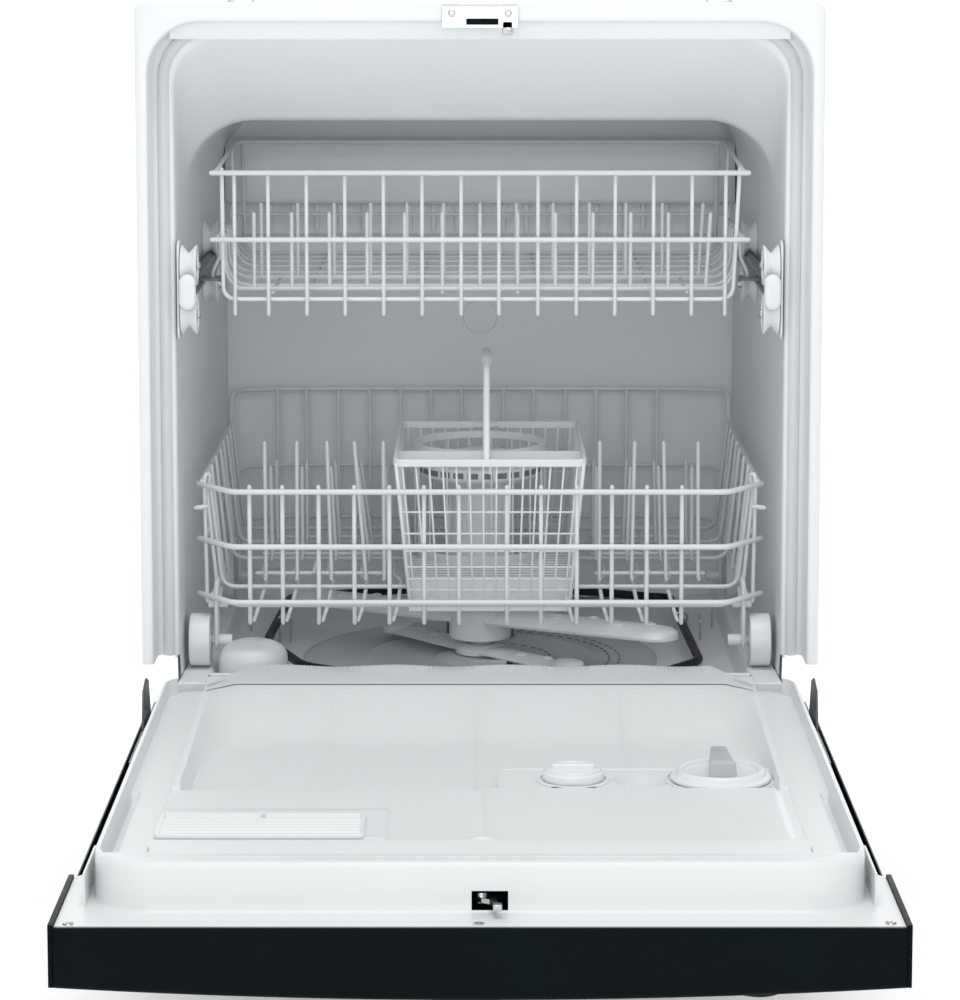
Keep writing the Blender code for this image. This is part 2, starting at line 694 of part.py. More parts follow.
def console():
    wall = 0.0037
    outer = [(x, face_height(x)) for x in evenly(-CONSOLE_HALF, CONSOLE_HALF, 13)]
    inner = [(x, face_height(x) + wall) for x in evenly(-CONSOLE_HALF + wall, CONSOLE_HALF - wall, 13)]
    shell = prism(outer + [(CONSOLE_HALF, 0.2340), (-CONSOLE_HALF, 0.2340)], "Y", DOOR_END, CONSOLE_START)
    hollow = prism(
        inner + [(CONSOLE_HALF - wall, 0.30), (-CONSOLE_HALF + wall, 0.30)], "Y", DOOR_END + 0.0043, -0.4
    )
    low = box(
        (-CONSOLE_HALF + wall, DOOR_END - 0.01, DOOR_FLANGE), (CONSOLE_HALF - wall, DOOR_END + 0.02, 0.3)
    )
    holes = [turned([(0, 0), (0.0066, 0), (0.0066, 0.3), (0, 0.3)], (*DIAL, 0), steps=14)]
    for x in BUTTON_XS:
        reach = (BUTTON_HALF[0] + 0.0005, BUTTON_HALF[1] + 0.0005)
        low_corner = (x - reach[0], BUTTON_Y - reach[1], 0.1)
        holes.append(box(low_corner, (x + reach[0], BUTTON_Y + reach[1], 0.3)))
    holes.append(box((*HANDLE_SLOT[0], 0.1), (*HANDLE_SLOT[1], 0.3)))
    piece("console", shell, BLACK, "door_axis", cut(hollow, low, *holes))


def controls():
    centre = (*DIAL, 0)
    face = face_height(DIAL[0])
    joint_frame("dial_axis", (*DIAL, face), "door_axis")
    profile = [
        (0, face - 0.019), (0.018, face - 0.019), (0.0205, face - 0.017), (0.0215, face - 0.006),
        (0.0260, face - 0.004), (0.0260, face - 0.0022), (0.0060, face - 0.0020), (0.0060, face + 0.016),
        (0, face + 0.016),
    ]
    piece("control_dial", turned(profile, centre, steps=24), BLACK, "dial_axis")
    for number, x in enumerate(BUTTON_XS, 1):
        face = face_height(x)
        joint_frame(f"button_{number}_axis", (x, BUTTON_Y, face), "door_axis")
        low = (x - BUTTON_HALF[0], BUTTON_Y - BUTTON_HALF[1])
        high = (x + BUTTON_HALF[0], BUTTON_Y + BUTTON_HALF[1])
        shape = prism(rounded(low, high, (0.002,) * 4, 2), "Z", face - 0.005, face + 0.010)
        piece(f"button_{number}", shape, BLACK, f"button_{number}_axis")
    module = box((-0.250, -0.592, 0.2045), (-0.060, -0.500, 0.2270))
    piece("control_module", module, GREY, "door_axis")


def latch():
    face = face_height(0)
    joint_frame("latch_handle_axis", (-0.010, -0.545, face), "door_axis")
    grip = prism(rounded((-0.036, -0.566), (0.014, -0.524), (0.008,) * 4, 3), "Z", face - 0.018, face - 0.0006)
    stem = box((-0.0220, -0.5510, face - 0.002), (-0.0020, -0.5390, face + 0.018))
    piece("latch_handle", grip, BLACK, "latch_handle_axis", join(stem))
    pivot = (0.0040, -0.5350)
    joint_frame("latch_hook_axis", (*pivot, 0.2395), "door_axis")
    outline = [
        (-0.002, -0.527), (-0.001, -0.5855), (0.0165, -0.5855), (0.0165, -0.578), (0.009, -0.578),
        (0.010, -0.527),
    ]
    pin_profile = [(0, 0.2335), (0.003, 0.2335), (0.003, 0.2480), (0, 0.2480)]
    pin = turned(pin_profile, (*pivot, 0), steps=10)
    piece("latch_hook", prism(outline, "Z", 0.2380, 0.2410), STEEL, "latch_hook_axis", join(pin))


def dispenser():
    floor = TRACK + GAP
    low, high = DISPENSER_LOW, DISPENSER_HIGH
    plate = prism(rounded(low, high, (0.012,) * 4, 4), "Z", floor, floor + 0.0035)
    body = box(
        (low[0] + 0.0045, low[1] + 0.0045, 0.2140), (high[0] - 0.0045, high[1] - 0.0045, floor + 0.001)
    )
    cup_profile = [(0, 0.2170), (0.031, 0.2170), (0.033, 0.30), (0, 0.30)]
    main_cup = turned(cup_profile, (*DETERGENT_CUP, 0), steps=24)
    open_cup = prism(rounded((0.1050, -0.3130), (0.1500, -0.2700), (0.014,) * 4, 3), "Z", 0.2300, 0.30)
    tank_profile = [(0, 0.2170), (0.017, 0.2170), (0.017, 0.30), (0, 0.30)]
    rinse_tank = turned(tank_profile, (*RINSE_CAP, 0), steps=16)
    piece("dispenser_housing", body, WHITE, "door_axis", join(plate) + cut(main_cup, open_cup, rinse_tank))
    top = floor + 0.0035 + GAP
    joint_frame("detergent_lid_axis", (DETERGENT_CUP[0], LID_HINGE_Y, top + 0.0008), "door_axis")
    lid = [
        (0, top), (0.0400, top), (0.0400, top + 0.003), (0.0345, top + 0.009), (0.0300, top + 0.009),
        (0.0280, top + 0.006), (0, top + 0.006),
    ]
    grip_outline = [(0.178, -0.3180), (0.202, -0.3180), (0.198, -0.2640), (0.182, -0.2640)]
    grip = prism(grip_outline, "Z", top + 0.004, top + 0.030)
    piece("detergent_lid", turned(lid, (*DETERGENT_CUP, 0), steps=28), WHITE, "detergent_lid_axis", join(grip))
    joint_frame("rinse_cap_axis", (RINSE_CAP[0], CAP_HINGE_Y, top + 0.0008), "door_axis")
    cap = [(0, top), (0.0240, top), (0.0240, top + 0.007), (0.0210, top + 0.010), (0, top + 0.010)]
    bar = box(
        (RINSE_CAP[0] - 0.016, RINSE_CAP[1] - 0.003, top + 0.008),
        (RINSE_CAP[0] + 0.016, RINSE_CAP[1] + 0.003, top + 0.013),
    )
    piece("rinse_aid_cap", turned(cap, (*RINSE_CAP, 0), steps=24), WHITE, "rinse_cap_axis", join(bar))


# ---------------------------------------------------------------- racks
def ring_path(corners, radius, steps=3):
    """A closed plan line with rounded corners, as points and the distance of each along it."""
    points = []
    for index, corner in enumerate(corners):
        here = Vector(corner)
        before = Vector(corners[index - 1])
        after = Vector(corners[(index + 1) % len(corners)])
        start = here + (before - here).normalized() * radius
        end = here + (after - here).normalized() * radius
        for step in range(steps + 1):
            share = step / steps
            points.append(start.lerp(here, share).lerp(here.lerp(end, share), share))
    lengths = [0.0]
    for first, second in zip(points, points[1:] + points[:1]):
        lengths.append(lengths[-1] + (second - first).length)
    return points, lengths


def band(corners, radius, bars, rows, lean=0.0, middle=None):
    """A fence of upright wires between rails round a plan, leaning outwards as it rises."""
    points, lengths = ring_path(corners, radius)
    total = lengths[-1]
    foot = rows[0][0]

    def place(u, v, w):
        u %= total
        index = max(i for i in range(len(points)) if lengths[i] <= u + 1e-9)
        first, second = points[index], points[(index + 1) % len(points)]
        share = (u - lengths[index]) / (lengths[index + 1] - lengths[index])
        ahead = (second - first).normalized()
        outward = Vector((ahead.y, -ahead.x))
        flat = first.lerp(second, share) + outward * (w + lean * (v - foot))
        return flat.x, flat.y, v

    pitch = total / bars
    bends = [length for length in lengths[1:-1]]
    places = [pitch * (index + 0.5) for index in range(bars)]
    clear = [bend for bend in bends if min(abs(bend - place) for place in places) > WIRE * 0.7]
    columns = spans(places, WIRE, 0.0, total, clear)
    return lattice(columns, rows, WIRE, place, closed=True)


def rails(levels, foot, tips):
    """Rows of a fence: rails of one wire's height at these levels, over wire ends that reach below."""
    found, here = [(tips, foot - WIRE / 2, False)] if tips < foot - WIRE / 2 else [], foot - WIRE / 2
    for level in levels:
        if level - WIRE / 2 > here + 1e-6:
            found.append((here, level - WIRE / 2, False))
        found.append((level - WIRE / 2, level + WIRE / 2, True))
        here = level + WIRE / 2
    return found


def rack_floor(half, start, end, height, lengthwise, crosswise):
    columns = spans(lengthwise, WIRE, -half, half)
    rows = spans(crosswise, WIRE, start, end)
    return lattice(columns, rows, WIRE, lambda u, v, w: (u, v, height + w))


def tine_comb(xs, rows, foot, tip, tie_xs):
    """Rows of upright tines on cross wires, tied to each other by wires along the rack."""
    shapes = []
    for y in rows:
        columns = spans(xs, WIRE, xs[0] - WIRE / 2, xs[-1] + WIRE / 2)
        levels = [(foot, foot + WIRE, True), (foot + WIRE, tip, False)]
        shapes.append(lattice(columns, levels, WIRE, lambda u, v, w, y=y: (u, y + w, v)))
    for x in tie_xs:
        start = (x - 0.0015, rows[0] - 0.001, foot + 0.0006)
        shapes.append(box(start, (x + 0.0015, rows[-1] + 0.001, foot + 0.0036)))
    return shapes


def upper_rack():
    joint_frame("upper_rack_axis", (0, 0.108, RAIL_Z))
    front, rear = 0.108, 0.538
    plan = [(-0.2355, front), (0.2355, front), (0.2480, rear), (-0.2480, rear)]
    fence = band(plan, 0.020, 28, rails([0.594, 0.649, 0.708], 0.594, 0.582))
    along = evenly(-0.180, 0.180, 7)
    across = evenly(front + 0.055, rear - 0.055, 5)
    floor = rack_floor(0.2365, front - 0.001, rear + 0.001, 0.5955, along, across)
    piece("upper_rack", fence, VINYL, "upper_rack_axis", join(floor))
    comb = tine_comb(evenly(-0.200, 0.200, 13), (0.135, 0.238), 0.6005, 0.671, (-0.1833, 0.1833))
    piece("upper_rack_tines", comb[0], VINYL, "upper_rack_axis", join(*comb[1:]))
    for name, side in SIDES.items():
        low, high = RAIL_Z - RAIL_HEIGHT / 2, RAIL_Z + RAIL_HEIGHT / 2
        bar = mirrored_box(side, (RAIL_X - 0.004, 0.088, low), (RAIL_X + 0.004, 0.545, high))
        tabs = [
            mirrored_box(side, (start, y, RAIL_Z - 0.003), (RAIL_X - 0.003, y + 0.025, RAIL_Z + 0.003))
            for start, y in ((0.2415, 0.190), (0.2482, 0.420))
        ]
        cap_low, cap_high = (side * RAIL_X - 0.0075, RAIL_Z - 0.016), (side * RAIL_X + 0.0075, RAIL_Z + 0.016)
        cap = prism(rounded(cap_low, cap_high, (0.007,) * 4, 3), "Y", 0.0690, 0.0760)
        neck = mirrored_box(side, (RAIL_X - 0.0035, 0.075, low + 0.001), (RAIL_X + 0.0035, 0.089, high - 0.001))
        piece(f"upper_rail_{name}", bar, DARK_STEEL, "upper_rack_axis", join(*tabs, neck, cap))


def lower_rack():
    joint_frame("lower_rack_axis", (0, 0.098, 0.317))
    front, corner, rear = 0.098, 0.128, 0.548
    foot = 0.322
    plan = [
        (-0.2530, corner), (-0.2220, front), (0.2220, front), (0.2530, corner), (0.2500, rear), (-0.2500, rear),
    ]
    fence = band(plan, 0.012, 28, rails([foot, 0.3735, 0.4235], foot, 0.3100))
    for vert in fence.verts:
        if vert.co.z > 0.40:
            vert.co.z += REAR_RISE * min(1.0, max(0.0, (vert.co.y - 0.490) / 0.035))
    brackets = []
    for side in SIDES.values():
        for y in WHEEL_YS.values():
            brackets.append(
                mirrored_box(side, (0.2415, y - 0.0088, foot - 0.0018), (0.2520, y + 0.0088, foot + 0.0018))
            )
            brackets.append(
                mirrored_box(side, (0.2395, y - 0.009, WHEEL_Z - 0.009), (0.2437, y + 0.009, foot + 0.0015))
            )
            span = sorted((side * 0.2425, side * 0.2620))
            axle = [(0, span[0]), (0.0040, span[0]), (0.0040, span[1]), (0, span[1])]
            brackets.append(turned(axle, (0, y, WHEEL_Z), "X", 10))
    piece("lower_rack", fence, VINYL, "lower_rack_axis", join(*brackets))
    cross = [WHEEL_YS["front"], 0.250, 0.366, WHEEL_YS["rear"], 0.505]
    along = [-0.190, -0.130, -0.070, 0.070, 0.130, 0.190]
    reach = WIRE / 2 + GAP
    floor = rack_floor(0.2385, front + reach, rear - reach, foot - 0.002, along, cross)
    tines = []
    for side in SIDES.values():
        xs = sorted(evenly(side * 0.125, side * 0.215, 4))
        tines += tine_comb(xs, (0.200, 0.300, 0.400), foot - 0.001, 0.405, (xs[1],))
    piece("lower_rack_floor", floor, VINYL, "lower_rack_axis", join(*tines))
    wheels()


def wheels():
    half = 0.0095
    profile = [
        (0.0044, -half), (0.011, -half), (0.012, -0.003), (0.019, -0.003), (0.0205, -half), (0.0235, -half),
        (WHEEL_RADIUS, -half + 0.002), (WHEEL_RADIUS, half - 0.002), (0.0235, half), (0.0044, half),
    ]
    for name, side in SIDES.items():
        for end, y in WHEEL_YS.items():
            frame = f"wheel_{end}_{name}_axis"
            centre = (side * WHEEL_X, y, WHEEL_Z)
            joint_frame(frame, centre, "lower_rack_axis")
            shown = [(radius, -side * height) for radius, height in profile]
            piece(f"wheel_{end}_{name}", turned(shown, centre, "X", 16, ring=True), WHITE, frame)


def wash_tower():
    foot, top = 0.3010, 0.430
    profile = [
        (0.018, foot), (0.026, foot), (0.036, 0.3200), (0.036, 0.3225), (0.0600, 0.3225), (0.0600, 0.3245),
        (0.036, 0.3247), (0.036, top - 0.032), (0.0580, top - 0.024),
        (0.0580, top - 0.014), (0.040, top - 0.004), (0, top), (0, top - 0.004), (0.018, top - 0.010),
    ]
    piece("wash_tower", turned(profile, (HUB.x, HUB.y + 0.008, 0), steps=24, ring=True), WHITE, "lower_rack_axis")


def silverware_basket():
    joint_frame("silverware_basket_axis", (BASKET_X, 0.260, 0.445), "lower_rack_axis")
    foot, rim = 0.3255, 0.445
    half_width, front, rear = 0.0765, 0.1515, 0.3700
    plan = [
        (BASKET_X - half_width, front), (BASKET_X + half_width, front),
        (BASKET_X + half_width, rear), (BASKET_X - half_width, rear),
    ]
    rows = [
        (foot, foot + 0.014, True), (foot + 0.014, 0.366, False), (0.366, 0.3695, True), (0.3695, 0.402, False),
        (0.402, 0.4055, True), (0.4055, rim - 0.007, False), (rim - 0.007, rim, True),
    ]
    walls = band(plan, 0.008, 22, rows, lean=0.085)
    floor = box(
        (BASKET_X - half_width - 0.001, front - 0.001, foot + 0.002),
        (BASKET_X + half_width + 0.001, rear + 0.001, foot + 0.0055),
    )
    centre = (HUB.x, HUB.y + 0.008, 0)
    well_profile = [(0.0610, foot + 0.003), (0.0630, foot + 0.003), (0.0630, 0.436), (0.0610, 0.436)]
    well_wall = turned(well_profile, centre, steps=24, ring=True)
    well = turned([(0, 0.2), (0.0612, 0.2), (0.0612, foot + 0.012), (0, foot + 0.012)], centre, steps=24)
    handle_path = rounded_path(
        [
            (BASKET_X - 0.003, 0.1430, rim - 0.005), (BASKET_X - 0.003, 0.200, 0.525),
            (BASKET_X - 0.003, 0.320, 0.525), (BASKET_X - 0.003, 0.3790, rim - 0.005),
        ],
        0.030, 4,
    )
    handle = tube(handle_path, 0.0035, 6)
    piece(
        "silverware_basket", walls, BASKET, "silverware_basket_axis",
        join(floor, well_wall, handle) + cut(well),
    )


# ---------------------------------------------------------------- assembly
def main():
    tub()
    gasket()
    base_frame()
    levelling_legs()
    kick_panels()
    float_switch()
    heater()
    wash_system()
    spray_arm("lower_spray_arm", 0.208, 0.052, 0.044, 0.2650, 0.2780, -28, 0.030, 0.2480)
    spray_arm("filter_spray_arm", 0.138, 0.036, 0.030, 0.2350, 0.2440, -48, 0.024, 0.2325)
    plumbing_and_wiring()
    strike()
    counter_brackets()
    hinge_brackets()
    door_springs()
    rack_rollers()
    joint_frame("door_axis", HINGE)
    door_panel()
    door_liner()
    vent_grille()
    splash_seal()
    hinge_arms()
    console()
    controls()
    latch()
    dispenser()
    upper_rack()
    lower_rack()
    wash_tower()
    silverware_basket()


main()
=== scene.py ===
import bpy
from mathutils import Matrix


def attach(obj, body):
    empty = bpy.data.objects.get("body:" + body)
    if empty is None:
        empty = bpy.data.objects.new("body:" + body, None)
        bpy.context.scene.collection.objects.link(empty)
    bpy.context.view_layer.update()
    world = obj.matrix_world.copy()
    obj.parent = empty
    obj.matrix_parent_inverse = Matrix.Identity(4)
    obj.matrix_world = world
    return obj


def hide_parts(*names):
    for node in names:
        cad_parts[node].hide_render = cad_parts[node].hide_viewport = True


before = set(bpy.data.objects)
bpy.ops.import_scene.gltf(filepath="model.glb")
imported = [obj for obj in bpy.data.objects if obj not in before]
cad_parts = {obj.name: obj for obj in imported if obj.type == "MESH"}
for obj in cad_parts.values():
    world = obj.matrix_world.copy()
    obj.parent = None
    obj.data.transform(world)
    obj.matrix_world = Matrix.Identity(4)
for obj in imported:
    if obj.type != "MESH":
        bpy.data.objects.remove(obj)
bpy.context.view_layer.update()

import math

import bmesh
import bpy
from mathutils import Matrix, Vector

SIDES = {"left": -1, "right": 1}


# ---------------------------------------------------------------- materials
def new_material(name):
    made = bpy.data.materials.new(name)
    made.use_nodes = True
    tree = made.node_tree
    shader = tree.nodes["Principled BSDF"]
    place = tree.nodes.new("ShaderNodeTexCoord").outputs["Object"]
    return made, tree, shader, place


def noise_of(tree, place, scale, detail=4.0, stretch=(1, 1, 1)):
    if stretch != (1, 1, 1):
        mapping = tree.nodes.new("ShaderNodeMapping")
        mapping.inputs["Scale"].default_value = stretch
        tree.links.new(place, mapping.inputs["Vector"])
        place = mapping.outputs["Vector"]
    texture = tree.nodes.new("ShaderNodeTexNoise")
    texture.inputs["Scale"].default_value = scale
    texture.inputs["Detail"].default_value = detail
    tree.links.new(place, texture.inputs["Vector"])
    return texture.outputs["Fac"]


def between(tree, value, low, high, start=0.3, end=0.7):
    spread = tree.nodes.new("ShaderNodeMapRange")
    spread.inputs["From Min"].default_value = start
    spread.inputs["From Max"].default_value = end
    spread.inputs["To Min"].default_value = low
    spread.inputs["To Max"].default_value = high
    tree.links.new(value, spread.inputs["Value"])
    return spread.outputs["Result"]


def two_tone(tree, value, first, second):
    ramp = tree.nodes.new("ShaderNodeValToRGB")
    ramp.color_ramp.elements[0].position = 0.3
    ramp.color_ramp.elements[0].color = (*first, 1)
    ramp.color_ramp.elements[1].position = 0.7
    ramp.color_ramp.elements[1].color = (*second, 1)
    tree.links.new(value, ramp.inputs["Fac"])
    return ramp.outputs["Color"]


def raised(tree, shader, height, strength, distance):
    bump = tree.nodes.new("ShaderNodeBump")
    bump.inputs["Strength"].default_value = strength
    bump.inputs["Distance"].default_value = distance
    tree.links.new(height, bump.inputs["Height"])
    tree.links.new(bump.outputs["Normal"], shader.inputs["Normal"])


def surface(
    name, colour, roughness, shade=0.94, metallic=0.0, mottle=6.0, grain=900.0, depth=0.00006,
    spread=0.03, stretch=(1, 1, 1), shine=0.5,
):
    """A moulded, painted or plated surface: slow colour change, uneven gloss and a fine texture in relief."""
    made, tree, shader, place = new_material(name)
    slow = noise_of(tree, place, mottle, 3.0, stretch)
    darker = tuple(channel * shade for channel in colour)
    tree.links.new(two_tone(tree, slow, darker, colour), shader.inputs["Base Color"])
    uneven = noise_of(tree, place, mottle * 7, 5.0, stretch)
    tree.links.new(
        between(tree, uneven, roughness - spread, roughness + spread), shader.inputs["Roughness"]
    )
    raised(tree, shader, noise_of(tree, place, grain, 3.0, stretch), 0.5, depth)
    shader.inputs["Metallic"].default_value = metallic
    shader.inputs["Specular IOR Level"].default_value = shine
    return made


WHITE = surface("white_moulding", (0.83, 0.855, 0.86), 0.36, 0.975)
TUB_WHITE = surface("tub_moulding", (0.86, 0.882, 0.887), 0.40, 0.97, mottle=3.0, grain=600.0, depth=0.00004)
LINER_WHITE = surface(
    "liner_moulding", (0.81, 0.835, 0.835), 0.40, 0.975, mottle=3.0, grain=700.0, depth=0.00003, spread=0.02
)
ARM_GREY = surface("arm_moulding", (0.86, 0.88, 0.885), 0.36, 0.96)
# Grey of the lid's grip; also painted shade in the sheet under the vent's louvres.
GREY_GRIP_AND_VENT_SHADE = surface("grip_moulding_and_vent_shade", (0.50, 0.53, 0.54), 0.40, 0.96)
BASKET_WHITE = surface("basket_moulding", (0.86, 0.88, 0.885), 0.40, 0.96, mottle=14.0)
VINYL = surface("vinyl_coat", (0.76, 0.785, 0.80), 0.34, 0.95, mottle=18.0, grain=1400.0, depth=0.00004)
ENAMEL = surface(
    "black_enamel", (0.0025, 0.0060, 0.0060), 0.32, 0.8, mottle=5.0, grain=260.0, depth=0.00004, shine=0.2
)
# Black plastic of the console and its parts; also painted shade in the strike's opening and the filler's
# slot.
BLACK_PLASTIC_AND_SLOT_SHADE = surface(
    "console_moulding_and_slot_shade", (0.0016, 0.0050, 0.0052), 0.42, 0.8, mottle=8.0, grain=1200.0, depth=0.00006,
    shine=0.06,
)
STEEL = surface(
    "plated_steel", (0.60, 0.61, 0.62), 0.27, 0.93, metallic=1.0, mottle=9.0, grain=1500.0, depth=0.00003
)
# Dark steel of the hinges, motor and frames; also painted shade in the counter tabs' holes.
DARK_STEEL_AND_HOLE_SHADE = surface("dark_steel", (0.115, 0.125, 0.13), 0.42, 0.8, metallic=0.85, mottle=12.0, grain=1300.0)
RAIL_STEEL = surface(
    "rail_steel", (0.20, 0.21, 0.22), 0.34, 0.88, metallic=0.9, mottle=12.0, grain=1600.0, depth=0.00004,
    stretch=(1, 0.06, 1),
)
SHEATH = surface(
    "heater_sheath", (0.012, 0.013, 0.015), 0.48, 0.6, metallic=0.3, mottle=40.0, grain=1600.0, depth=0.0001
)
RUBBER = surface("seal_rubber", (0.70, 0.73, 0.735), 0.58, 0.94, mottle=12.0, grain=1400.0)
FILTER_GREY = surface("filter_moulding", (0.64, 0.665, 0.67), 0.42, 0.90, mottle=10.0)
# Painted shade: a dark grey that stands in for the shade inside slots.
SLOT_SHADE = surface("slot_shadow", (0.20, 0.22, 0.22), 0.55, 0.90, mottle=10.0)
# Dark grey of the control module and the inlet guard; also painted shade in the spray arms' holes and the
# tower's slots.
GREY_AND_HOLE_SHADE = surface("module_grey_and_hole_shade", (0.22, 0.23, 0.24), 0.55, 0.85, mottle=16.0)


# ---------------------------------------------------------------- shapes
def fillet(points, radius, steps=5, closed=False):
    """A line whose corners are rounded. radius is one number, or one for each point."""
    points = [Vector(point) for point in points]
    count = len(points)
    radii = radius if isinstance(radius, (list, tuple)) else [radius] * count
    made = []
    for index, here in enumerate(points):
        if not closed and index in (0, count - 1):
            made.append(here)
            continue
        before, after = points[index - 1], points[(index + 1) % count]
        into, out = before - here, after - here
        turn = into.angle(out, math.pi)
        if radii[index] <= 0 or turn > math.pi - 1e-3:
            made.append(here)
            continue
        reach = min(radii[index] / math.tan(turn / 2), into.length * 0.49, out.length * 0.49)
        start, end = here + into.normalized() * reach, here + out.normalized() * reach
        for step in range(steps + 1):
            share = step / steps
            made.append(start.lerp(here, share).lerp(here.lerp(end, share), share))
    return made


def tube(made, points, radius, sides=8, closed=False):
    """A round wire along a line, with domed ends, added to a mesh."""
    points = [Vector(point) for point in points]
    count = len(points)
    first = (points[1] - points[0]).normalized()
    across = first.cross(Vector((0, 0, 1)))
    across = across.normalized() if across.length > 1e-4 else Vector((1, 0, 0))
    rings = []

    def ring(centre, ahead, size):
        nonlocal across
        across = (across - ahead * across.dot(ahead)).normalized()
        up = ahead.cross(across)
        return [
            made.verts.new(centre + size * (math.cos(a) * across + math.sin(a) * up)) for a in turns(sides)
        ]

    for index, point in enumerate(points):
        if closed:
            ahead = points[(index + 1) % count] - points[index - 1]
        else:
            ahead = points[min(index + 1, count - 1)] - points[max(index - 1, 0)]
        ahead.normalize()
        if index == 0 and not closed:
            rings.append(ring(point - ahead * radius * 0.75, ahead, radius * 0.55))
        rings.append(ring(point, ahead, radius))
        if index == count - 1 and not closed:
            rings.append(ring(point + ahead * radius * 0.75, ahead, radius * 0.55))
    pairs = list(zip(rings, rings[1:]))
    if closed:
        pairs.append((rings[-1], rings[0]))
    for near, far in pairs:
        for step in range(sides):
            after = (step + 1) % sides
            made.faces.new((near[step], near[after], far[after], far[step]))
    if not closed:
        made.faces.new(list(reversed(rings[0])))
        made.faces.new(rings[-1])


def wires(paths, radius, sides=8):
    """Several wires in one mesh. A path is a list of points, or (points, radius)."""
    made = bmesh.new()
    for path in paths:
        if isinstance(path, tuple):
            tube(made, path[0], path[1], sides)
        else:
            tube(made, path, radius, sides)
    return made


def loft(loops, closed=True, caps=(False, False)):
    """A skin over loops that all have the same number of points."""
    made = bmesh.new()
    rows = [[made.verts.new(point) for point in loop] for loop in loops]
    count = len(rows[0])
    for near, far in zip(rows, rows[1:]):
        for step in range(count if closed else count - 1):
            after = (step + 1) % count
            made.faces.new((near[step], near[after], far[after], far[step]))
    if caps[0]:
        made.faces.new(rows[0])
    if caps[1]:
        made.faces.new(rows[-1])
    bmesh.ops.remove_doubles(made, verts=made.verts, dist=1e-6)
    bmesh.ops.recalc_face_normals(made, faces=made.faces)
    return made


def rounded(x0, x1, y0, y1, radius, steps=6):
    """A rectangle with rounded corners, anticlockwise. radius is one number, or one for each corner."""
    radii = radius if isinstance(radius, (list, tuple)) else [radius] * 4
    centres = ((x0, y0, 180, 1, 1), (x1, y0, 270, -1, 1), (x1, y1, 0, -1, -1), (x0, y1, 90, 1, -1))
    points = []
    for (x, y, turn, right, up), size in zip(centres, radii):
        size = max(size, 1e-5)
        for step in range(steps + 1):
            angle = math.radians(turn + 90 * step / steps)
            points.append((x + right * size + size * math.cos(angle), y + up * size + size * math.sin(angle)))
    return points


def inset_loft(x0, x1, y0, y1, radius, profile, steps=6, place=None, caps=(False, True)):
    """Rounded rectangles stacked up a profile of (inset, height)."""
    place = place or (lambda x, y, z: (x, y, z))
    radii = radius if isinstance(radius, (list, tuple)) else [radius] * 4
    loops = []
    for inset, height in profile:
        flat = rounded(
            x0 + inset, x1 - inset, y0 + inset, y1 - inset, [max(r - inset, 0.0006) for r in radii], steps
        )
        loops.append([place(x, y, height) for x, y in flat])
    return loft(loops, True, caps)


def profile_of(points, radius, steps=4):
    """A flat profile with rounded corners."""
    return [(point.x, point.y) for point in fillet([(x, y, 0) for x, y in points], radius, steps)]


def axis_point(axis, along, first, second):
    if axis == "X":
        return Vector((along, first, second))
    if axis == "Y":
        return Vector((first, along, second))
    return Vector((first, second, along))


def lathe(profile, centre, axis="Z", steps=32, ring=False):
    """A profile of (radius, height) turned about an axis. A ring's profile closes on itself."""
    made = bmesh.new()
    centre = Vector(centre)
    rows = []
    for radius, height in profile:
        if radius < 1e-7:
            rows.append([made.verts.new(centre + axis_point(axis, height, 0, 0))] * steps)
            continue
        rows.append([
            made.verts.new(centre + axis_point(axis, height, radius * math.cos(a), radius * math.sin(a)))
            for a in turns(steps)
        ])
    pairs = list(zip(rows, rows[1:])) + ([(rows[-1], rows[0])] if ring else [])
    for near, far in pairs:
        for step in range(steps):
            after = (step + 1) % steps
            corners = list(dict.fromkeys((near[step], near[after], far[after], far[step])))
            if len(corners) > 2:
                made.faces.new(corners)
    bmesh.ops.recalc_face_normals(made, faces=made.faces)
    return made


def extruded(outline, axis, start, end):
    """A flat outline drawn out along an axis."""
    made = bmesh.new()
    near = [made.verts.new(axis_point(axis, start, *point)) for point in outline]
    far = [made.verts.new(axis_point(axis, end, *point)) for point in outline]
    made.faces.new(near)
    made.faces.new(far)
    for step in range(len(near)):
        after = (step + 1) % len(near)
        made.faces.new((near[step], near[after], far[after], far[step]))
    bmesh.ops.recalc_face_normals(made, faces=made.faces)
    return made


def slab(low, high):
    return extruded(
        [(low[0], low[1]), (high[0], low[1]), (high[0], high[1]), (low[0], high[1])], "Z", low[2], high[2]
    )


def merged(*shapes):
    """Several meshes as one."""
    made = bmesh.new()
    holder = bpy.data.meshes.new("holder")
    for shape in shapes:
        shape.to_mesh(holder)
        made.from_mesh(holder)
        shape.free()
    bpy.data.meshes.remove(holder)
    return made


def turns(count):
    return [2 * math.pi * step / count for step in range(count)]


def circle(x, y, radius, count):
    return [(x + radius * math.cos(a), y + radius * math.sin(a)) for a in turns(count)]


def spun(shape, angle, centre):
    """A shape drawn about the origin, turned about an upright axis and set on its centre."""
    turn = Matrix.Translation(centre) @ Matrix.Rotation(angle, 4, "Z")
    bmesh.ops.transform(shape, verts=shape.verts, matrix=turn)
    return shape


def piece(name, shape, body, look, replaces=(), bevel=0.0, segments=3, angle=32):
    mesh = bpy.data.meshes.new(name)
    shape.to_mesh(mesh)
    shape.free()
    mesh.materials.append(look)
    mesh.shade_smooth()
    mesh.set_sharp_from_angle(angle=math.radians(angle))
    made = bpy.data.objects.new(name, mesh)
    bpy.context.scene.collection.objects.link(made)
    if bevel:
        edge = made.modifiers.new("edges", "BEVEL")
        edge.width = bevel
        edge.segments = segments
        edge.limit_method = "ANGLE"
        edge.angle_limit = math.radians(angle)
        edge.harden_normals = False
    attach(made, body)
    if replaces:
        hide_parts(*([replaces] if isinstance(replaces, str) else replaces))
    return made


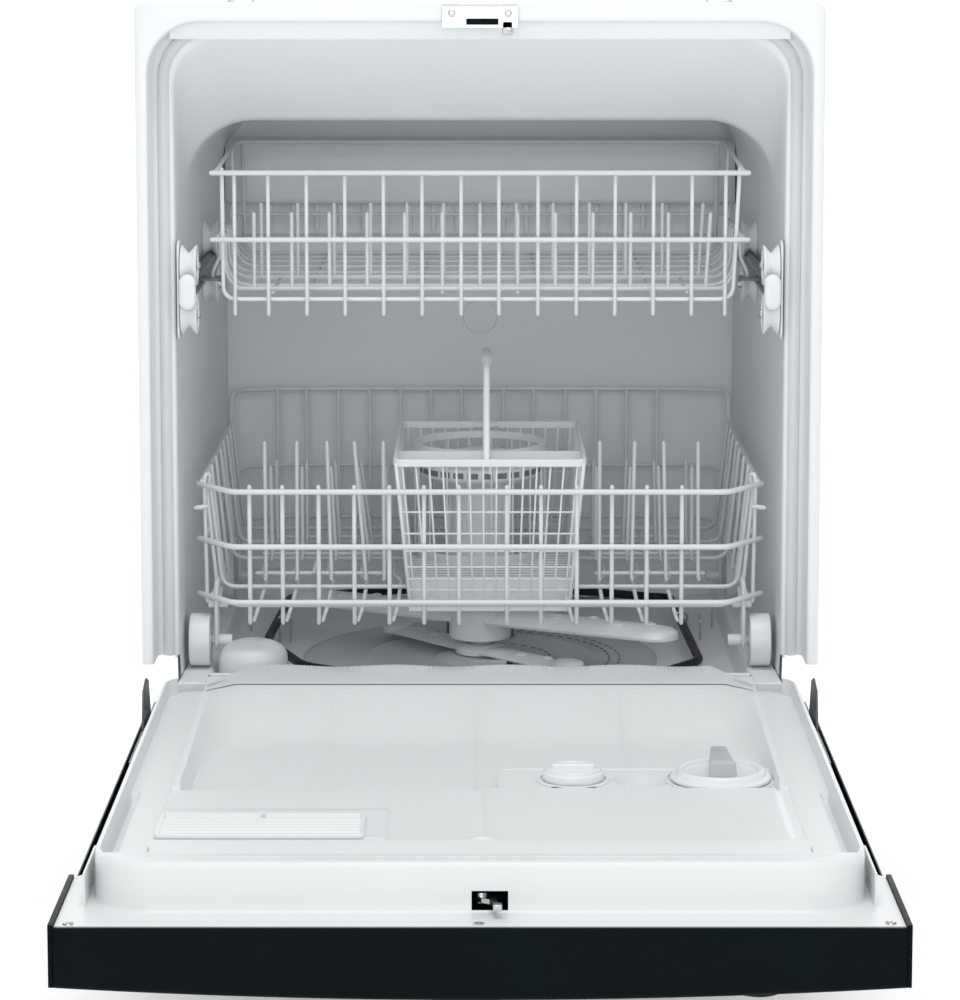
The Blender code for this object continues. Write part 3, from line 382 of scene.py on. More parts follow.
def keep(node, look, bevel=0.0, segments=2):
    """A CAD node that shows as it is, with a better material and softened edges."""
    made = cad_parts[node]
    made.data.materials.clear()
    made.data.materials.append(look)
    if bevel:
        weld = made.modifiers.new("weld", "WELD")
        weld.merge_threshold = 0.00002
        edge = made.modifiers.new("edges", "BEVEL")
        edge.width = bevel
        edge.segments = segments
        edge.limit_method = "ANGLE"
        edge.angle_limit = math.radians(32)
    return made


def evenly(start, end, count):
    return [start + (end - start) * index / (count - 1) for index in range(count)]


def smooth(low, high, value):
    share = min(1.0, max(0.0, (value - low) / (high - low)))
    return share * share * (3 - 2 * share)


def screw_head(centre, axis, facing, radius=0.004, height=0.0022):
    """A pan-head screw with a round recess, its head towards facing (1 or -1) along the axis."""
    profile = [
        (0, -0.001), (radius, -0.001), (radius, 0.0), (radius * 0.85, height * 0.7), (radius * 0.5, height)
    ]
    profile += [(radius * 0.32, height), (radius * 0.26, height * 0.35), (0, height * 0.3)]
    shape = lathe([(r, facing * h) for r, h in profile], centre, axis, 16)
    return shape


# ---------------------------------------------------------------- tub
FRONT, STEP = 0.048, 0.088
FLOOR, LEDGE, LEDGE_EDGE = 0.226, 0.2538, 0.243
HUB = Vector((0.0, 0.300, FLOOR))


def arch(half, top, radius, foot, y, steps=10, uprights=5):
    """A line up the left side, over the top and down the right, with rounded upper corners."""
    points = [(-half, foot + (top - radius - foot) * i / uprights) for i in range(uprights)]
    points += [
        (-half + radius - radius * math.cos(a), top - radius + radius * math.sin(a))
        for a in [math.pi / 2 * i / steps for i in range(steps + 1)]
    ]
    points += [(-x, z) for x, z in reversed(points)]
    return [(x, y, z) for x, z in points]


def tub_skin():
    foot = 0.2755
    rows = [
        (0.2998, 0.8465, 0.006, foot, 0.0700), (0.2998, 0.8590, 0.008, foot, 0.0540),
        (0.3000, 0.8600, 0.009, foot, 0.0500), (0.2985, 0.8585, 0.009, foot, FRONT),
        (0.2915, 0.8452, 0.047, foot, FRONT), (0.2900, 0.8437, 0.046, foot, FRONT + 0.0005),
        (0.2892, 0.8430, 0.046, foot, FRONT + 0.0025), (0.2888, 0.8426, 0.046, foot, STEP - 0.004),
        (0.2880, 0.8418, 0.046, foot, STEP - 0.001), (0.2860, 0.8400, 0.045, foot, STEP),
        (0.2735, 0.8285, 0.041, foot, STEP), (0.2712, 0.8265, 0.040, foot, STEP + 0.0008),
        (0.2700, 0.8245, 0.040, foot, STEP + 0.0030),
    ]
    loops = [arch(*row) for row in rows]
    # The header leans back and down from the step, and turns into the walls along a soft edge.
    for share in (0.10, 0.30, 0.55, 0.78, 0.92, 0.98, 1.0):
        top = 0.8245 - 0.0710 * share
        loops.append(
            arch(0.2700 - 0.0020 * share, top, 0.040 + 0.022 * share, LEDGE, STEP + 0.003 + 0.095 * share)
        )
    loops.append(arch(0.2678, 0.7508, 0.062, LEDGE, 0.1905))
    loops.append(arch(0.2675, 0.7490, 0.060, LEDGE, 0.1990))
    for y in (0.28, 0.38, 0.48, 0.56):
        loops.append(arch(0.2675 - 0.006 * (y - 0.2) / 0.37, 0.748, 0.058, LEDGE, y))
    loops.append(arch(0.2600, 0.7440, 0.050, LEDGE, 0.5760))
    loops.append(arch(0.2540, 0.7380, 0.044, LEDGE, 0.5830))
    shape = loft(loops, closed=False)
    bmesh.ops.recalc_face_normals(shape, faces=shape.faces)
    piece("tub_skin", shape, "cabinet", TUB_WHITE, angle=60)


def tub_back():
    """The back wall: a hollow under the ceiling, a rounded shelf, a ribbed channel and a plain wall."""
    profile = profile_of(
        [
            (0.584, 0.7450), (0.584, 0.7080), (0.553, 0.7080), (0.549, 0.6900), (0.5475, 0.6600),
            (0.5500, 0.6430), (0.584, 0.6430), (0.584, 0.6100), (0.579, 0.6080), (0.579, 0.4200),
            (0.5835, 0.2600), (0.560, 0.2350),
        ],
        [0, 0.004, 0.010, 0.030, 0.030, 0.008, 0.004, 0.003, 0.003, 0.05, 0.02, 0], 5,
    )
    half = 0.2600
    xs = [-half, -0.256, -0.250, -0.240] + evenly(-0.225, 0.225, 13) + [0.240, 0.250, 0.256, half]
    loops = []
    for x in xs:
        edge = max(0.0, abs(x) - 0.238) / 0.022
        loops.append(
            [(x, y - (0.006 * edge ** 2 if y > 0.57 else -0.010 * edge ** 2), z) for y, z in profile]
        )
    shape = loft(loops, closed=False)
    piece("tub_back_wall", shape, "cabinet", TUB_WHITE, angle=50)
    ribs = []
    for x in evenly(-0.215, 0.215, 19):
        outline = rounded(x - 0.0022, x + 0.0022, 0.6125, 0.6415, 0.002, 2)
        ribs.append(extruded(outline, "Y", 0.5775, 0.5845))
    piece("back_channel_ribs", merged(*ribs), "cabinet", TUB_WHITE, bevel=0.0006)
    ring = lathe(
        [(0.0165, 0), (0.0175, -0.0007), (0.0185, 0), (0.0175, 0.001)], (0.0, 0.5790, 0.5250), "Y", 40, True
    )
    piece("back_ring_mark", ring, "cabinet", TUB_WHITE)


def floor_height(x, y):
    """The tub's floor: wheel ledges at the sides, a bottom that falls to the sump, and an upturned rear."""
    middle = FLOOR + 0.0022 + 0.006 * smooth(0.17, 0.24, abs(x)) + 0.004 * smooth(0.42, 0.55, y)
    far = math.hypot(x, y - HUB.y)
    if far < 0.160:
        middle = FLOOR + 0.0004
    else:
        middle -= (middle - FLOOR - 0.0004) * (1 - smooth(0.160, 0.185, far))
    up = smooth(0.236, 0.2445, abs(x))
    height = middle + (LEDGE - 0.0003 - middle) * up
    return max(height, FLOOR + 0.0004 + 0.045 * smooth(0.560, 0.590, y))


def tub_floor():
    xs = sorted(
        set([round(x, 5) for x in evenly(-0.236, 0.236, 41)] + [s * x for s in (-1, 1) for x in
            (0.2375, 0.2390, 0.2405, 0.2420, 0.2435, 0.2445, 0.2480, 0.2560, 0.2640, 0.2680)])
    )
    ys = evenly(0.1045, 0.550, 44) + [0.556, 0.562, 0.568, 0.574, 0.580]
    loops = [[(x, y, floor_height(x, y)) for x in xs] for y in ys]
    shape = loft(loops, closed=False)
    piece("tub_floor", shape, "cabinet", TUB_WHITE, angle=60)
    # The sill stands up at the front, and a nose of each ledge reaches past it towards the door.
    sill = profile_of(
        [(0.1003, 0.2190), (0.1003, 0.2560), (0.1040, 0.2560), (0.1048, 0.2240)], [0, 0.0016, 0.0016, 0], 3
    )
    shape = loft(
        [[(x, y, z) for y, z in sill] for x in evenly(-0.2435, 0.2435, 9)], closed=True, caps=(True, True)
    )
    noses = []
    for side in SIDES.values():
        low, high = sorted((side * (LEDGE_EDGE + 0.0006), side * 0.2708))
        noses.append(
            extruded(rounded(low, high, LEDGE - 0.0175, LEDGE - 0.0004, 0.003, 3), "Y", 0.0735, 0.1300)
        )
    piece("tub_sill", merged(shape, *noses), "cabinet", TUB_WHITE, bevel=0.0012, angle=40)


def tub_outside():
    """The moulded shell seen from the sides, the top and behind, ribbed as such tubs are."""
    half = 0.2718
    rings = []
    sections = [
        (0.0900, 0.8462, 0.046), (0.0960, 0.8462, 0.046), (0.1000, 0.8440, 0.046), (0.1900, 0.7690, 0.046),
        (0.2000, 0.7655, 0.046), (0.5600, 0.7655, 0.046), (0.5820, 0.7600, 0.046), (0.5895, 0.7480, 0.046),
    ]
    for y, top, radius in sections:
        inset = 0.0 if y < 0.57 else (0.002 if y < 0.585 else 0.010)
        rings.append(
            [
                (x, y, z)
                for x, z in rounded(
                    -half + inset, half - inset, 0.2164 + inset, top, (0.012, 0.012, radius, radius)
                )
            ]
        )
    skin = loft(rings, closed=True, caps=(False, True))
    fins = []
    for y in (0.150, 0.250, 0.350, 0.450, 0.550):
        top = 0.7655 if y > 0.2 else 0.8440 - 0.0750 * (y - 0.1) / 0.09
        outer = arch(half + 0.0075, top + 0.0075, 0.050, 0.2600, y - 0.002)
        inner = arch(half - 0.0004, top - 0.0004, 0.045, 0.2600, y - 0.002)
        band = [[a, (a[0], y + 0.002, a[2]), (b[0], y + 0.002, b[2]), b] for a, b in zip(outer, inner)]
        fins.append(loft(band, closed=True, caps=(True, True)))
    for side in SIDES.values():
        fins.append(
            extruded(
                rounded(side * 0.160 - 0.015, side * 0.160 + 0.015, 0.240, 0.740, 0.004, 3), "Y", 0.588,
                0.6078,
            )
        )
    for z in (0.34, 0.46, 0.58, 0.70):
        fins.append(extruded(rounded(-0.245, 0.245, z - 0.002, z + 0.002, 0.0015, 2), "Y", 0.588, 0.5975))
    piece(
        "tub_shell", merged(skin, *fins), "cabinet", TUB_WHITE, replaces="tub", angle=40,
    )
    # The frame's side returns close the space between the front flange and the shell.
    walls = []
    for side in SIDES.values():
        outline = [
            (side * 0.2925, 0.2755), (side * 0.2712, 0.2755), (side * 0.2712, 0.846), (side * 0.2925, 0.846)
        ]
        walls.append(extruded(outline, "Y", 0.0885, 0.0918))
    walls.append(
        extruded(
            [(-0.2711, 0.8275), (0.2711, 0.8275), (0.2711, 0.8462), (-0.2711, 0.8462)], "Y", 0.0690, 0.0918
        )
    )
    for side in SIDES.values():
        for z in (0.35, 0.50, 0.65, 0.80):
            walls.append(
                extruded(
                    [
                        (side * 0.2985, z - 0.0015), (side * 0.2918, z - 0.0015),
                        (side * 0.2918, z + 0.0015), (side * 0.2985, z + 0.0015),
                    ],
                    "Y", 0.0515, 0.0700,
                )
            )
    piece("frame_returns", merged(*walls), "cabinet", TUB_WHITE, bevel=0.0006)


def gasket():
    """A hollow bulb seal that lies in the step, from one foot of the frame over the top to the other."""
    section = profile_of(
        [
            (0.2738, 0.0878), (0.2738, 0.0856), (0.2765, 0.0832), (0.2800, 0.0830), (0.2830, 0.0846),
            (0.2840, 0.0878),
        ],
        [0.0004, 0.001, 0.0015, 0.0015, 0.001, 0.0004], 3,
    )
    loops = []
    for half, y in section:
        loops.append(arch(half, 0.829 + (half - 0.272), 0.038 + (half - 0.272), 0.2760, y, 12))
    shape = loft([list(row) for row in zip(*loops)], closed=True, caps=(True, True))
    piece(
        "door_gasket_bulb", shape, "cabinet", RUBBER, replaces="door_gasket", angle=50,
    )


tub_skin()
tub_back()
tub_floor()
tub_outside()
gasket()


# ---------------------------------------------------------------- upper rack
UPPER_FRONT, UPPER_REAR = 0.108, 0.538
UPPER_UPRIGHTS = (0.0168, 0.0516, 0.0859, 0.1203, 0.1544, 0.1886, 0.2185)
ROLLER_GAP = 0.0218  # from the rail's middle to each roller's axle
RAIL_X, RAIL_Z = 0.258, 0.605


def both(xs):
    return [-x for x in xs] + list(xs)


def upper_half(y):
    return 0.2350 + 0.0125 * (y - UPPER_FRONT) / (UPPER_REAR - UPPER_FRONT)


def upper_rack():
    top, middle, foot, rear_middle = 0.7080, 0.6485, 0.5945, 0.6340
    rail, outline, upright, light = 0.0023, 0.0019, 0.0017, 0.0015
    face = UPPER_FRONT - 0.0035
    rear_half = upper_half(UPPER_REAR)
    paths = [
        ([(-0.2385, face, top), (0.2385, face, top)], rail),
        ([(-0.2385, face, middle), (0.2385, face, middle)], rail),
    ]
    for front_z, rear_z in ((top, top - 0.0005), (middle, rear_middle)):
        corners = [
            (-upper_half(UPPER_FRONT), face + 0.004, front_z), (-rear_half, UPPER_REAR, rear_z),
            (rear_half, UPPER_REAR, rear_z), (upper_half(UPPER_FRONT), face + 0.004, front_z),
        ]
        paths.append((fillet(corners, 0.022, 6), outline))
    # One bent wire outlines the front wall, and another the rear wall.
    front_outline = [
        (-0.2293, face + 0.0042, top + 0.003), (-0.2293, face + 0.0085, foot), (0.2258, face + 0.0085, foot),
        (0.2308, face + 0.0042, top + 0.003),
    ]
    paths.append((fillet(front_outline, 0.013, 8), outline))
    rear_outline = [
        (-0.2400, UPPER_REAR - 0.004, top), (-0.2385, UPPER_REAR - 0.004, foot),
        (0.2385, UPPER_REAR - 0.004, foot), (0.2400, UPPER_REAR - 0.004, top),
    ]
    paths.append((fillet(rear_outline, 0.016, 8), outline))
    for x in both(UPPER_UPRIGHTS):
        paths.append(([(x, face + 0.0040, top + 0.001), (x, face + 0.0043, 0.5815)], upright))
    # The floor's cross wires turn up at the ends and stop at the middle rail.
    for y in (0.166, 0.200, 0.262, 0.316, 0.372, 0.422, 0.464, 0.508):
        share = (y - UPPER_FRONT) / (UPPER_REAR - UPPER_FRONT)
        rise = middle + (rear_middle - middle) * share
        half = upper_half(y) - 0.0035
        if y == 0.372:
            rise = top
        corners = [
            (-half, y, rise), (-half + 0.003, y, foot + 0.0035), (half - 0.003, y, foot + 0.0035),
            (half, y, rise),
        ]
        paths.append((fillet(corners, 0.024, 7), light))
    for x in both((0.052, 0.155)):
        paths.append(([(x, face + 0.009, foot + 0.0005), (x, UPPER_REAR - 0.004, foot + 0.0005)], light))
    # Each side hooks over its rail at two places.
    for side in SIDES.values():
        for y, reach in ((0.2025, 0.2415), (0.4325, 0.2482)):
            near = reach - 0.0035
            hook = [
                (side * near, y - 0.004, middle - 0.004), (side * (near + 0.001), y, 0.6235),
                (side * (reach + 0.004), y, 0.6100), (side * (reach + 0.004), y, 0.6035),
                (side * near, y, 0.5985),
            ]
            paths.append((fillet(hook, 0.006, 5), upright))
    piece("upper_rack_wires", wires(paths, rail, 10), "upper_rack_body", VINYL, replaces="upper_rack",
          angle=50)
    tines = []
    for y in (0.135, 0.238):
        tines.append(([(-0.2180, y, 0.6020), (0.2180, y, 0.6020)], upright))
        for index, x in enumerate(evenly(-0.203, 0.203, 13)):
            lean = 0.004 if index == 12 else 0.0
            tines.append(([(x, y + 0.0012, 0.6010), (x + lean, y + 0.0012, 0.6690)], upright))
    for x in both((0.0339, 0.186)):
        tines.append(([(x, 0.128, 0.5988), (x, 0.245, 0.5988)], light))
    piece("upper_tine_wires", wires(tines, upright, 10), "upper_rack_body", VINYL,
          replaces="upper_rack_tines", angle=50)


def upper_rails():
    for name, side in SIDES.items():
        # A folded bar, ridged above and below where it runs in the rollers' grooves.
        section = [
            (0.2540, 0.5975), (0.2580, 0.5947), (0.2620, 0.5975), (0.2620, 0.6125), (0.2580, 0.6153),
            (0.2540, 0.6125), (0.2540, 0.6092), (0.2557, 0.6080), (0.2557, 0.6058), (0.2545, 0.6050),
            (0.2557, 0.6042), (0.2557, 0.6020), (0.2540, 0.6008),
        ]
        bar = extruded([(side * x, z) for x, z in section], "Y", 0.0880, 0.5450)
        tabs = []
        for start, y in ((0.2390, 0.190), (0.2450, 0.420)):
            low, high = sorted((side * start, side * 0.2560))
            tabs.append(slab((low, y, 0.6026), (high, y + 0.025, 0.6052)))
            tabs.append(screw_head((side * start, y + 0.0125, 0.6039), "X", -side, 0.0030, 0.0016))
        piece(f"rail_bar_{name}", merged(bar, *tabs), "upper_rack_body", RAIL_STEEL,
              replaces=f"upper_rail_{name}", bevel=0.0004, segments=2)
        x0, x1 = side * RAIL_X - 0.0073, side * RAIL_X + 0.0073
        profile = [
            (0.0030, 0.0766), (0.0004, 0.0762), (0.0, 0.0752), (0.0, 0.0722), (0.0005, 0.0708),
            (0.0016, 0.0698), (0.0032, 0.0693), (0.0050, 0.0691),
        ]
        cap = inset_loft(
            x0, x1, RAIL_Z - 0.0158, RAIL_Z + 0.0158, 0.0073, profile, 8, lambda x, z, y: (x, y, z),
            (True, True),
        )
        lines = [
            extruded(rounded(side * RAIL_X + shift - 0.0004, side * RAIL_X + shift + 0.0004, RAIL_Z - 0.0098,
                             RAIL_Z + 0.0098, 0.0004, 2), "Y", 0.0687, 0.0695)
            for shift in (-0.0018, 0.0, 0.0018)
        ]
        neck = extruded(
            rounded(side * RAIL_X - 0.0034, side * RAIL_X + 0.0034, 0.5965, 0.6135, 0.002, 3), "Y", 0.0755,
            0.0886,
        )
        piece(
            f"rail_cap_{name}", merged(cap, *lines, neck), "upper_rack_body", WHITE, angle=50,
        )


def roller_profile():
    return [
        (0.0034, -0.0066), (0.0075, -0.0066), (0.0078, -0.0060), (0.0150, -0.0060), (0.0154, -0.0068),
        (0.0160, -0.0072), (0.0172, -0.0072), (0.0178, -0.0069), (0.0180, -0.0063), (0.0178, -0.0057),
        (0.0118, -0.0009), (0.0112, 0.0), (0.0118, 0.0009), (0.0178, 0.0057), (0.0180, 0.0063),
        (0.0178, 0.0069), (0.0172, 0.0072), (0.0160, 0.0072), (0.0154, 0.0068), (0.0150, 0.0060),
        (0.0078, 0.0060), (0.0075, 0.0066), (0.0034, 0.0066),
    ]


def rollers():
    for name, side in SIDES.items():
        for end, y in (("front", 0.095), ("rear", 0.345)):
            plate = inset_loft(
                y - 0.0145, y + 0.0145, 0.5610, 0.6490, 0.0100,
                [
                    (0.0, 0.2678), (0.0, 0.2668), (0.0008, 0.2660), (0.0026, 0.2657), (0.0032, 0.2661),
                    (0.0060, 0.2661),
                ],
                6, lambda first, second, x, side=side: (side * x, first, second), (True, True),
            )
            parts = [plate]
            for up in (1, -1):
                centre = (0, y, RAIL_Z + up * ROLLER_GAP)
                stud = [(0, 0.2515), (0.0030, 0.2515), (0.0030, 0.2662), (0, 0.2662)]
                parts.append(lathe([(r, side * x) for r, x in stud], centre, "X", 16))
                parts.append(
                    lathe(
                        [
                            (0.0030, side * 0.2500), (0.0046, side * 0.2500), (0.0046, side * 0.2508),
                            (0.0030, side * 0.2508),
                        ],
                        centre, "X", 20, True,
                    )
                )
            body = merged(*parts)
            piece(
                f"wall_bracket_{end}_{name}", body, "cabinet", WHITE,
                replaces=f"roller_bracket_{name}" if end == "front" else (), angle=40,
            )
            for level, up in (("upper", 1), ("lower", -1)):
                centre = (side * RAIL_X, y, RAIL_Z + up * ROLLER_GAP)
                spool = lathe(roller_profile(), centre, "X", 40, True)
                grips = []
                for turn in range(5):
                    angle = 2 * math.pi * turn / 5
                    place = (y + 0.0117 * math.cos(angle), centre[2] + 0.0117 * math.sin(angle))
                    for facing in (-1, 1):
                        start, stop = sorted(
                            (side * RAIL_X + facing * 0.0058, side * RAIL_X + facing * 0.0069)
                        )
                        grips.append(extruded(rounded(place[0] - 0.0008, place[0] + 0.0008, place[1] - 0.0008,
                                                      place[1] + 0.0008, 0.0007, 2), "X", start, stop))
                node = f"roller_{level}_{name}"
                front_one = end == "front"
                piece(f"{node}_spool" if front_one else f"rear_{node}_spool", merged(spool, *grips),
                      f"{node}_body" if front_one else "cabinet", WHITE, replaces=node if front_one else (),
                      angle=40)
                bolt = screw_head((side * 0.2500, y, centre[2]), "X", -side, 0.0040, 0.0020)
                piece(
                    f"{node}_{end}_screw", bolt, "cabinet", STEEL, bevel=0.0002, segments=2,
                )


# ---------------------------------------------------------------- lower rack
LOWER_FRONT, LOWER_REAR = 0.0985, 0.548
LOWER_UPRIGHTS = (-0.2070, -0.1775, -0.1450, -0.1130, -0.0815, -0.0503, -0.0189,
                  0.0242, 0.0548, 0.0871, 0.1185, 0.1499, 0.1813)
WHEEL_YS = {"front": 0.143, "rear": 0.450}
WHEEL_X, WHEEL_Z = 0.255, 0.2784


def lower_rack():
    top, middle, foot = 0.4222, 0.3722, 0.3214
    rear_top = 0.4540
    rail, upright, light = 0.0026, 0.0020, 0.0018
    paths = []
    for z in (top, middle, foot):
        corners = [
            (-0.2560, 0.1440, z), (-0.2225, LOWER_FRONT, z), (0.2225, LOWER_FRONT, z), (0.2560, 0.1440, z)
        ]
        paths.append((fillet(corners, 0.016, 6), rail))
    # A second wire runs along the bottom rail, and turns back into the floor.
    corners = [
        (-0.2390, 0.1800, foot - 0.003), (-0.2370, 0.1350, foot - 0.003),
        (-0.2180, LOWER_FRONT + 0.0065, foot - 0.0036), (0.2180, LOWER_FRONT + 0.0065, foot - 0.0036),
        (0.2370, 0.1350, foot - 0.003), (0.2390, 0.1800, foot - 0.003),
    ]
    paths.append((fillet(corners, 0.010, 5), light))
    # The top rail steps up before it crosses the rear.
    side_top = [
        (-0.2520, 0.1400, top + 0.003), (-0.2528, 0.1480, top + 0.001), (-0.2525, 0.5120, top + 0.001),
        (-0.2520, 0.5200, rear_top), (-0.2440, 0.5360, rear_top), (-0.2080, LOWER_REAR, rear_top),
    ]
    paths.append((fillet(side_top + [(-x, y, z) for x, y, z in reversed(side_top)], 0.010, 5), rail))
    side_middle = [
        (-0.2500, 0.1380, middle + 0.001), (-0.2485, 0.5000, middle + 0.002),
        (-0.2380, 0.5330, middle + 0.003), (-0.2050, LOWER_REAR, middle + 0.003),
    ]
    paths.append((fillet(side_middle + [(-x, y, z) for x, y, z in reversed(side_middle)], 0.018, 6), upright))
    side_foot = [
        (-0.2430, 0.1330, foot), (-0.2420, 0.5000, foot), (-0.2330, 0.5350, foot),
        (-0.2050, LOWER_REAR, foot),
    ]
    paths.append((fillet(side_foot + [(-x, y, z) for x, y, z in reversed(side_foot)], 0.018, 6), upright))
    # Side uprights lean in. Some cross the floor from wall to wall, the others end on the bottom rail.
    crossing = (0.185, 0.328, 0.415, 0.490)
    for y in crossing:
        corners = [
            (-0.2498, y, top + 0.003), (-0.2378, y, foot - 0.0022), (0.2378, y, foot - 0.0022),
            (0.2498, y, top + 0.003),
        ]
        paths.append((fillet(corners, 0.014, 6), upright))
    for side in SIDES.values():
        for y in (0.150, 0.222, 0.275, 0.370, 0.455):
            paths.append(([(side * 0.2500, y, top + 0.004), (side * 0.2395, y, foot - 0.003)], light))
        # The corner upright ends in a small eye above the rail.
        eye = [
            (side * 0.2482, 0.1360, foot - 0.006), (side * 0.2500, 0.1380, top + 0.004),
            (side * 0.2490, 0.1400, top + 0.010), (side * 0.2450, 0.1430, top + 0.008),
            (side * 0.2470, 0.1430, top + 0.001),
        ]
        paths.append((fillet(eye, 0.003, 4), light))
        peg = [(side * 0.2480, 0.1330, top - 0.019), (side * 0.2575, 0.1320, top - 0.020)]
        paths.append((peg, 0.0021))
    # Each upright of the front runs back along the floor, with a jog that clears the tines, and up the rear.
    for x in LOWER_UPRIGHTS:
        paths.append(([(x, LOWER_FRONT + 0.0046, top + 0.004), (x, LOWER_FRONT + 0.0044, 0.3020)], upright))
        shift = 0.0072 if x < 0 else -0.0072
        middle_one = abs(x - 0.0027) < 0.080
        if middle_one:
            run = [(x, LOWER_REAR - 0.0045, rear_top - 0.001), (x, LOWER_REAR - 0.0045, foot - 0.0055),
                   (x, 0.4350, foot - 0.0062)]
        else:
            run = [
                (x, LOWER_REAR - 0.0045, rear_top - 0.001), (x, LOWER_REAR - 0.0045, foot - 0.0055),
                (x, 0.2620, foot - 0.0062), (x + shift, 0.2360, foot - 0.0062),
                (x + shift, 0.1180, foot - 0.0062), (x + shift * 0.45, LOWER_FRONT + 0.006, 0.3040),
            ]
        paths.append(
            (fillet(run, [0, 0.018, 0.008, 0.008, 0.012, 0] if not middle_one else [0, 0.018, 0], 5), light)
        )
    piece("lower_rack_wires", wires(paths, rail, 10), "lower_rack_body", VINYL, replaces="lower_rack",
          angle=50)
    wheel_mounts(foot)


def wheel_mounts(foot):
    """Each wheel's axle stub is held in a loop of wire bent down from the rack's side."""
    loop_x, reach = 0.2404, 0.0072
    for name, side in SIDES.items():
        loops = []
        stubs = []
        for y in WHEEL_YS.values():
            bottom = [
                (side * loop_x, y + reach * math.cos(a), WHEEL_Z + reach * math.sin(a))
                for a in [math.pi + math.pi * i / 10 for i in range(11)]
            ]
            start = (side * (loop_x - 0.0005), y - reach, foot + 0.012)
            end = (side * (loop_x - 0.0005), y + reach, foot + 0.012)
            loops.append(([start, *bottom, end], 0.0019))
            stub = [
                (0, 0.2262), (0.0042, 0.2262), (0.0050, 0.2268), (0.0050, 0.2435), (0.0038, 0.2440),
                (0.0038, 0.2625), (0.0030, 0.2632), (0, 0.2632),
            ]
            stubs.append(lathe([(r, side * x) for r, x in stub], (0, y, WHEEL_Z), "X", 24))
            low, high = sorted((side * 0.2300, side * 0.2475))
            stubs.append(extruded(rounded(y - 0.0045, y + 0.0045, 0.3085, 0.3165, 0.0025, 3), "X", low, high))
        piece(
            f"wheel_loops_{name}", wires(loops, 0.0019, 10), "lower_rack_body", VINYL, angle=50,
        )
        piece(
            f"axle_stubs_{name}", merged(*stubs), "lower_rack_body", WHITE, bevel=0.0005,
        )


def wheels():
    half = 0.0095
    profile = [
        (0.0046, -half), (0.0085, -half), (0.0092, -half + 0.0007), (0.0098, -0.0030), (0.0105, -0.0024),
        (0.0190, -0.0024), (0.0197, -0.0030), (0.0203, -half + 0.0007), (0.0210, -half), (0.0228, -half),
        (0.0238, -half + 0.0006), (0.0241, -half + 0.0020), (0.0241, half - 0.0020),
        (0.0238, half - 0.0006), (0.0228, half), (0.0215, half), (0.0210, half - 0.0008),
        (0.0120, half - 0.0008), (0.0114, half), (0.0046, half),
    ]
    for name, side in SIDES.items():
        for end, y in WHEEL_YS.items():
            centre = (side * WHEEL_X, y, WHEEL_Z)
            disc = lathe([(r, -side * h) for r, h in profile], centre, "X", 48, True)
            spokes = []
            for turn in range(6):
                angle = math.pi * turn / 3 + 0.2
                across = Vector((0, -math.sin(angle), math.cos(angle))) * 0.0009
                ahead = Vector((0, math.cos(angle), math.sin(angle)))
                corners = [
                    ahead * 0.0088 + across, ahead * 0.0206 + across, ahead * 0.0206 - across,
                    ahead * 0.0088 - across,
                ]
                outline = [(y + c.y, WHEEL_Z + c.z) for c in corners]
                start, stop = sorted((side * (WHEEL_X + 0.0020), side * (WHEEL_X + 0.0082)))
                spokes.append(extruded(outline, "X", start, stop))
            piece(f"wheel_{end}_{name}_disc", merged(disc, *spokes), f"wheel_{end}_{name}_body", WHITE,
                  replaces=f"wheel_{end}_{name}", angle=40)


def lower_tines():
    """Tall tines in three rows on each side. Each is one wire with its neighbour's floor run."""
    tips = {
        "left": (-0.2005, -0.1705, -0.1425, -0.1170, -0.0900),
        "right": (0.1115, 0.1440, 0.1710, 0.2030),
    }
    feet = {
        "left": (-0.1990, -0.1700, -0.1380, -0.1060, -0.0890),
        "right": (0.1110, 0.1410, 0.1730, 0.2030),
    }
    paths = []
    for name in SIDES:
        inner, outer = (-0.086, -0.208) if name == "left" else (0.108, 0.208)
        for y, height in ((0.2060, 0.4480), (0.3060, 0.4100), (0.3960, 0.4020)):
            paths.append(([(inner, y + 0.003, 0.3272), (outer, y + 0.003, 0.3272)], 0.0018))
            for foot_x, tip_x in zip(feet[name], tips[name]):
                lean = 0.016 if y < 0.25 else 0.006
                run = [(foot_x, y - 0.012, 0.3240), (foot_x, y, 0.3240), (tip_x, y + lean, height)]
                paths.append((fillet(run, 0.006, 4), 0.0018))
        middle = (feet[name][1] + feet[name][2]) / 2
        paths.append(([(middle, 0.1960, 0.3305), (middle, 0.4080, 0.3305)], 0.0016))
    piece("tine_wires", wires(paths, 0.0018, 10), "lower_rack_body", VINYL, replaces="lower_rack_floor",
          angle=50)


upper_rack()
upper_rails()
rollers()
lower_rack()
wheels()
lower_tines()


# ---------------------------------------------------------------- basket and tower
BASKET_RIM, BASKET_FOOT, BASKET_DEEP = 0.445, 0.3258, 0.3030
TOWER_Y = 0.308


